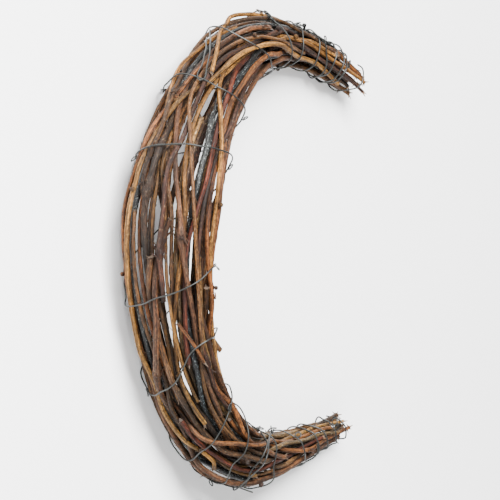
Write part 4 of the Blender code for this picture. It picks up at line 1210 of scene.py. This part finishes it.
def floor_finish(name, colour):
    """Smooth pale studio floor."""
    n = Nodes(name)
    place = n.add("ShaderNodeTexCoord").outputs["Object"]
    cloud = n.noise(place, (3, 3, 3), 2.0, 0.5)
    n.link(n.tint(n.ramp(cloud, 0.3, 0.7), tuple(colour), shade(tuple(colour), 0.985)),
           n.shader.inputs["Base Color"])
    n.shader.inputs["Roughness"].default_value = 0.9
    return n.material


def bark_finishes(colours):
    """The finish of each kind of bark, and of cut wood."""
    finishes = {"cut_wood": cut_finish("cut_wood")}
    for kind, colour, flecks, fleck_colour, weathering, roughness in BARK_KINDS:
        finishes["bark_" + kind] = bark_finish("bark_" + kind, tuple(getattr(colours, kind)),
                                               flecks, fleck_colour, weathering,
                                               0.5 if kind == "grey" else 0.0)
    return finishes


# Studio

def set_room_light(strength):
    """The even white light of the room."""
    world = bpy.data.worlds.new("room")
    world.use_nodes = True
    ground = next(n for n in world.node_tree.nodes if n.type == "BACKGROUND")
    ground.inputs["Color"].default_value = (1.0, 1.0, 1.0, 1.0)
    ground.inputs["Strength"].default_value = strength
    bpy.context.scene.world = world


def hang_light(name, place, size, power):
    """A soft round light that points at the wreath."""
    clear_selection()
    bpy.ops.object.light_add(type="AREA", location=place)
    light = bpy.context.object
    light.name = name
    light.data.shape = "DISK"
    light.data.size = size
    light.data.energy = power
    light.rotation_euler = (Vector(LIGHT_TARGET) - Vector(place)).to_track_quat("-Z", "Y").to_euler()


def set_camera(scene):
    """The camera at the photograph's angle and distance."""
    clear_selection()
    bpy.ops.object.camera_add()
    camera = bpy.context.object
    camera.name = "photo_camera"
    view = Vector(ALONG_VIEW)
    right = Vector(TO_RIGHT)
    top = Vector(TO_TOP)
    place = Vector(CRESCENT_CENTRE) - view * VIEW_STEPS * STEP_SIZE
    turned = Matrix((right, top, -view)).transposed().to_4x4()
    camera.matrix_world = Matrix.Translation(place) @ turned
    camera.data.sensor_width = SENSOR_MM
    camera.data.lens = VIEW_STEPS / IMAGE_STEPS * SENSOR_MM
    camera.data.shift_x = CENTRE_SHIFT[0] / IMAGE_STEPS
    camera.data.shift_y = CENTRE_SHIFT[1] / IMAGE_STEPS
    camera.data.clip_start = 0.5
    camera.data.clip_end = 60.0
    scene.camera = camera


# Settings that a user would change

class CaneSizes(bpy.types.PropertyGroup):
    """How finely the canes are made and how unevenly they grow."""
    step: bpy.props.FloatProperty(
        name="Step", description="Length between two rings of a cane", default=0.0022,
        min=0.001, subtype="DISTANCE", unit="LENGTH")
    sides: bpy.props.IntProperty(
        name="Sides", description="Corners round a cane, an even number", default=12, min=6)
    wander: bpy.props.FloatProperty(
        name="Wander", description="How far a cane strays from its solid's line",
        default=0.0009, min=0.0, subtype="DISTANCE", unit="LENGTH")
    thickness: bpy.props.FloatProperty(
        name="Thickness", description="A cane's mean thickness, as a share of its solid's",
        default=0.90, min=0.5, max=1.1, subtype="FACTOR")
    joint_spacing: bpy.props.FloatProperty(
        name="Joint spacing", description="Mean length between two growth joints",
        default=0.058, min=0.01, subtype="DISTANCE", unit="LENGTH")
    stub_share: bpy.props.FloatProperty(
        name="Stub share", description="Share of growth joints with a broken stub of a twig",
        default=0.30, min=0.0, max=1.0, subtype="FACTOR")
    strip_spacing: bpy.props.FloatProperty(
        name="Strip spacing", description="Mean length between two strips of peeling bark",
        default=0.020, min=0.002, subtype="DISTANCE", unit="LENGTH")
    joint_swell: bpy.props.FloatProperty(
        name="Joint swell", description="How much a growth joint stands out, as a share",
        default=0.22, min=0.0, subtype="FACTOR")
    # Painted shade: how much darker the bark is painted where a cane lies deep in the bundle.
    painted_inner_shade: bpy.props.FloatProperty(
        name="Inner shade", description="How much darker the bark is deep in the bundle",
        default=0.55, min=0.0, max=1.0, subtype="FACTOR")
    splay: bpy.props.FloatProperty(
        name="Splay", description="How far the canes spread apart at the two tips",
        default=0.0055, min=0.0, subtype="DISTANCE", unit="LENGTH")
    rim: bpy.props.FloatProperty(
        name="Bark rim", description="Thickness of the bark seen on a cut end",
        default=0.00035, min=0.0, subtype="DISTANCE", unit="LENGTH")


class WireSizes(bpy.types.PropertyGroup):
    """Size and colour of the binding wire."""
    wire_radius: bpy.props.FloatProperty(
        name="Wire radius", description="Half of the wire's thickness", default=0.00064,
        min=0.0001, subtype="DISTANCE", unit="LENGTH")
    wire_wander: bpy.props.FloatProperty(
        name="Wire wander", description="Height of the small bends of the wire",
        default=0.0005, min=0.0, subtype="DISTANCE", unit="LENGTH")
    wire_drift: bpy.props.FloatProperty(
        name="Wire drift", description="How far the wire slides along the bundle in its turns",
        default=0.0016, min=0.0, subtype="DISTANCE", unit="LENGTH")
    wire_step: bpy.props.FloatProperty(
        name="Wire step", description="Length between two rings of the wire", default=0.0014,
        min=0.0005, subtype="DISTANCE", unit="LENGTH")
    colour: bpy.props.FloatVectorProperty(
        name="Wire colour", description="Colour of the wire, as seen", subtype="COLOR",
        size=3, min=0.0, max=1.0, default=(0.17, 0.175, 0.17))


class BarkColours(bpy.types.PropertyGroup):
    """The colour of each kind of bark, as seen."""
    __annotations__ = {
        kind: bpy.props.FloatVectorProperty(
            name=kind.capitalize() + " bark", description="Colour of the " + kind + " canes",
            subtype="COLOR", size=3, min=0.0, max=1.0, default=colour)
        for kind, colour, flecks, fleck_colour, weathering, roughness in BARK_KINDS}


class StudioSettings(bpy.types.PropertyGroup):
    """Floor and light."""
    floor_size: bpy.props.FloatProperty(
        name="Floor size", description="Width of the square floor", default=30.0, min=1.0,
        subtype="DISTANCE", unit="LENGTH")
    floor_colour: bpy.props.FloatVectorProperty(
        name="Floor colour", description="Colour of the studio floor", subtype="COLOR",
        size=3, min=0.0, max=1.0, default=(0.93, 0.93, 0.93))
    sky: bpy.props.FloatProperty(
        name="Room light", description="Strength of the even light of the room", default=0.36,
        min=0.0)
    key: bpy.props.FloatProperty(
        name="Main light", description="Power of the main soft light, in watts", default=560.0,
        min=0.0)


# Operators

class WREATH_OT_canes(bpy.types.Operator):
    """Make every cane with its bark, knots, shoots and cut ends"""
    bl_idname = "wreath.canes"
    bl_label = "Make the canes"
    bl_options = {"REGISTER", "UNDO"}

    def execute(self, context):
        finishes = bark_finishes(context.scene.wreath_barks)
        sizes = context.scene.wreath_canes
        forms = {node: cane_form(node, sizes, np.random.default_rng(LINE_SEED + k))
                 for k, node in enumerate(CANES)}
        rough = rough_knots_on(forms)
        buried = buried_shares(forms)
        lines = {node: form.line for node, form in forms.items()}
        corners = cane_corners()
        tendrils = {node: [] for node in CANES}
        for x, y, size in TENDRILS:
            node, step = nearest_in_front(lines, x, y, TENDRIL_PICK)
            if node:
                tendrils[node].append((step, outward_at(lines[node][step], corners), size))
        patches = dark_patches_on(lines)
        bases = (base_strip(), base_fibre())
        for node in CANES:
            make_cane(node, forms[node], rough[node], patches[node], tendrils[node],
                      buried[node], bases, sizes, finishes)
        return {"FINISHED"}


class WREATH_OT_wires(bpy.types.Operator):
    """Make the binding wires"""
    bl_idname = "wreath.wires"
    bl_label = "Make the wires"
    bl_options = {"REGISTER", "UNDO"}

    def execute(self, context):
        sizes = context.scene.wreath_wires
        material = wire_finish("wire_dark", tuple(sizes.colour))
        lines = wire_lines(sizes)
        corners = cane_corners()
        curls = {node: [] for node in WIRES}
        for x, y, size in WIRE_CURLS:
            node, step = nearest_in_front(lines, x, y, CURL_PICK)
            if node:
                curls[node].append((step, outward_at(lines[node][step], corners), size))
        for node in WIRES:
            make_wire(node, lines[node], curls[node], sizes, material)
        return {"FINISHED"}


class WREATH_OT_studio(bpy.types.Operator):
    """Lay the floor, hang the lights and set up the camera"""
    bl_idname = "wreath.studio"
    bl_label = "Set up the studio"
    bl_options = {"REGISTER", "UNDO"}

    def execute(self, context):
        settings = context.scene.wreath_studio
        clear_selection()
        bpy.ops.mesh.primitive_plane_add(size=settings.floor_size, location=(0, 0, 0))
        floor = context.object
        floor.name = "studio_floor"
        floor.data.materials.append(floor_finish("studio_floor", settings.floor_colour))
        set_room_light(settings.sky)
        hang_light("main_light", *MAIN_LIGHT, settings.key)
        hang_light("fill_light", *FILL_LIGHT, settings.key * FILL_SHARE)
        set_camera(context.scene)
        return {"FINISHED"}


class WREATH_PT_panel(bpy.types.Panel):
    """Sizes, colours and steps of the wreath"""
    bl_idname = "WREATH_PT_panel"
    bl_label = "Crescent wreath"
    bl_space_type = "VIEW_3D"
    bl_region_type = "UI"
    bl_category = "Wreath"

    def draw(self, context):
        scene = context.scene
        for heading, group in (("Canes", scene.wreath_canes), ("Wire", scene.wreath_wires),
                               ("Barks", scene.wreath_barks), ("Studio", scene.wreath_studio)):
            box = self.layout.box()
            box.label(text=heading)
            for key in group.__annotations__:
                box.prop(group, key)
        for operator in (WREATH_OT_canes, WREATH_OT_wires, WREATH_OT_studio):
            self.layout.operator(operator.bl_idname)


CLASSES = (CaneSizes, WireSizes, BarkColours, StudioSettings, WREATH_OT_canes,
           WREATH_OT_wires, WREATH_OT_studio, WREATH_PT_panel)


def register():
    """Adds the classes and their settings to Blender."""
    for item in CLASSES:
        bpy.utils.register_class(item)
    scene = bpy.types.Scene
    scene.wreath_canes = bpy.props.PointerProperty(type=CaneSizes)
    scene.wreath_wires = bpy.props.PointerProperty(type=WireSizes)
    scene.wreath_barks = bpy.props.PointerProperty(type=BarkColours)
    scene.wreath_studio = bpy.props.PointerProperty(type=StudioSettings)


def unregister():
    """Takes the classes and their settings away again."""
    scene = bpy.types.Scene
    del scene.wreath_studio
    del scene.wreath_barks
    del scene.wreath_wires
    del scene.wreath_canes
    for item in reversed(CLASSES):
        bpy.utils.unregister_class(item)


def main():
    """Makes the whole scene in order."""
    register()
    bpy.ops.wreath.canes()
    bpy.ops.wreath.wires()
    bpy.ops.wreath.studio()


if __name__ == "__main__":
    main()
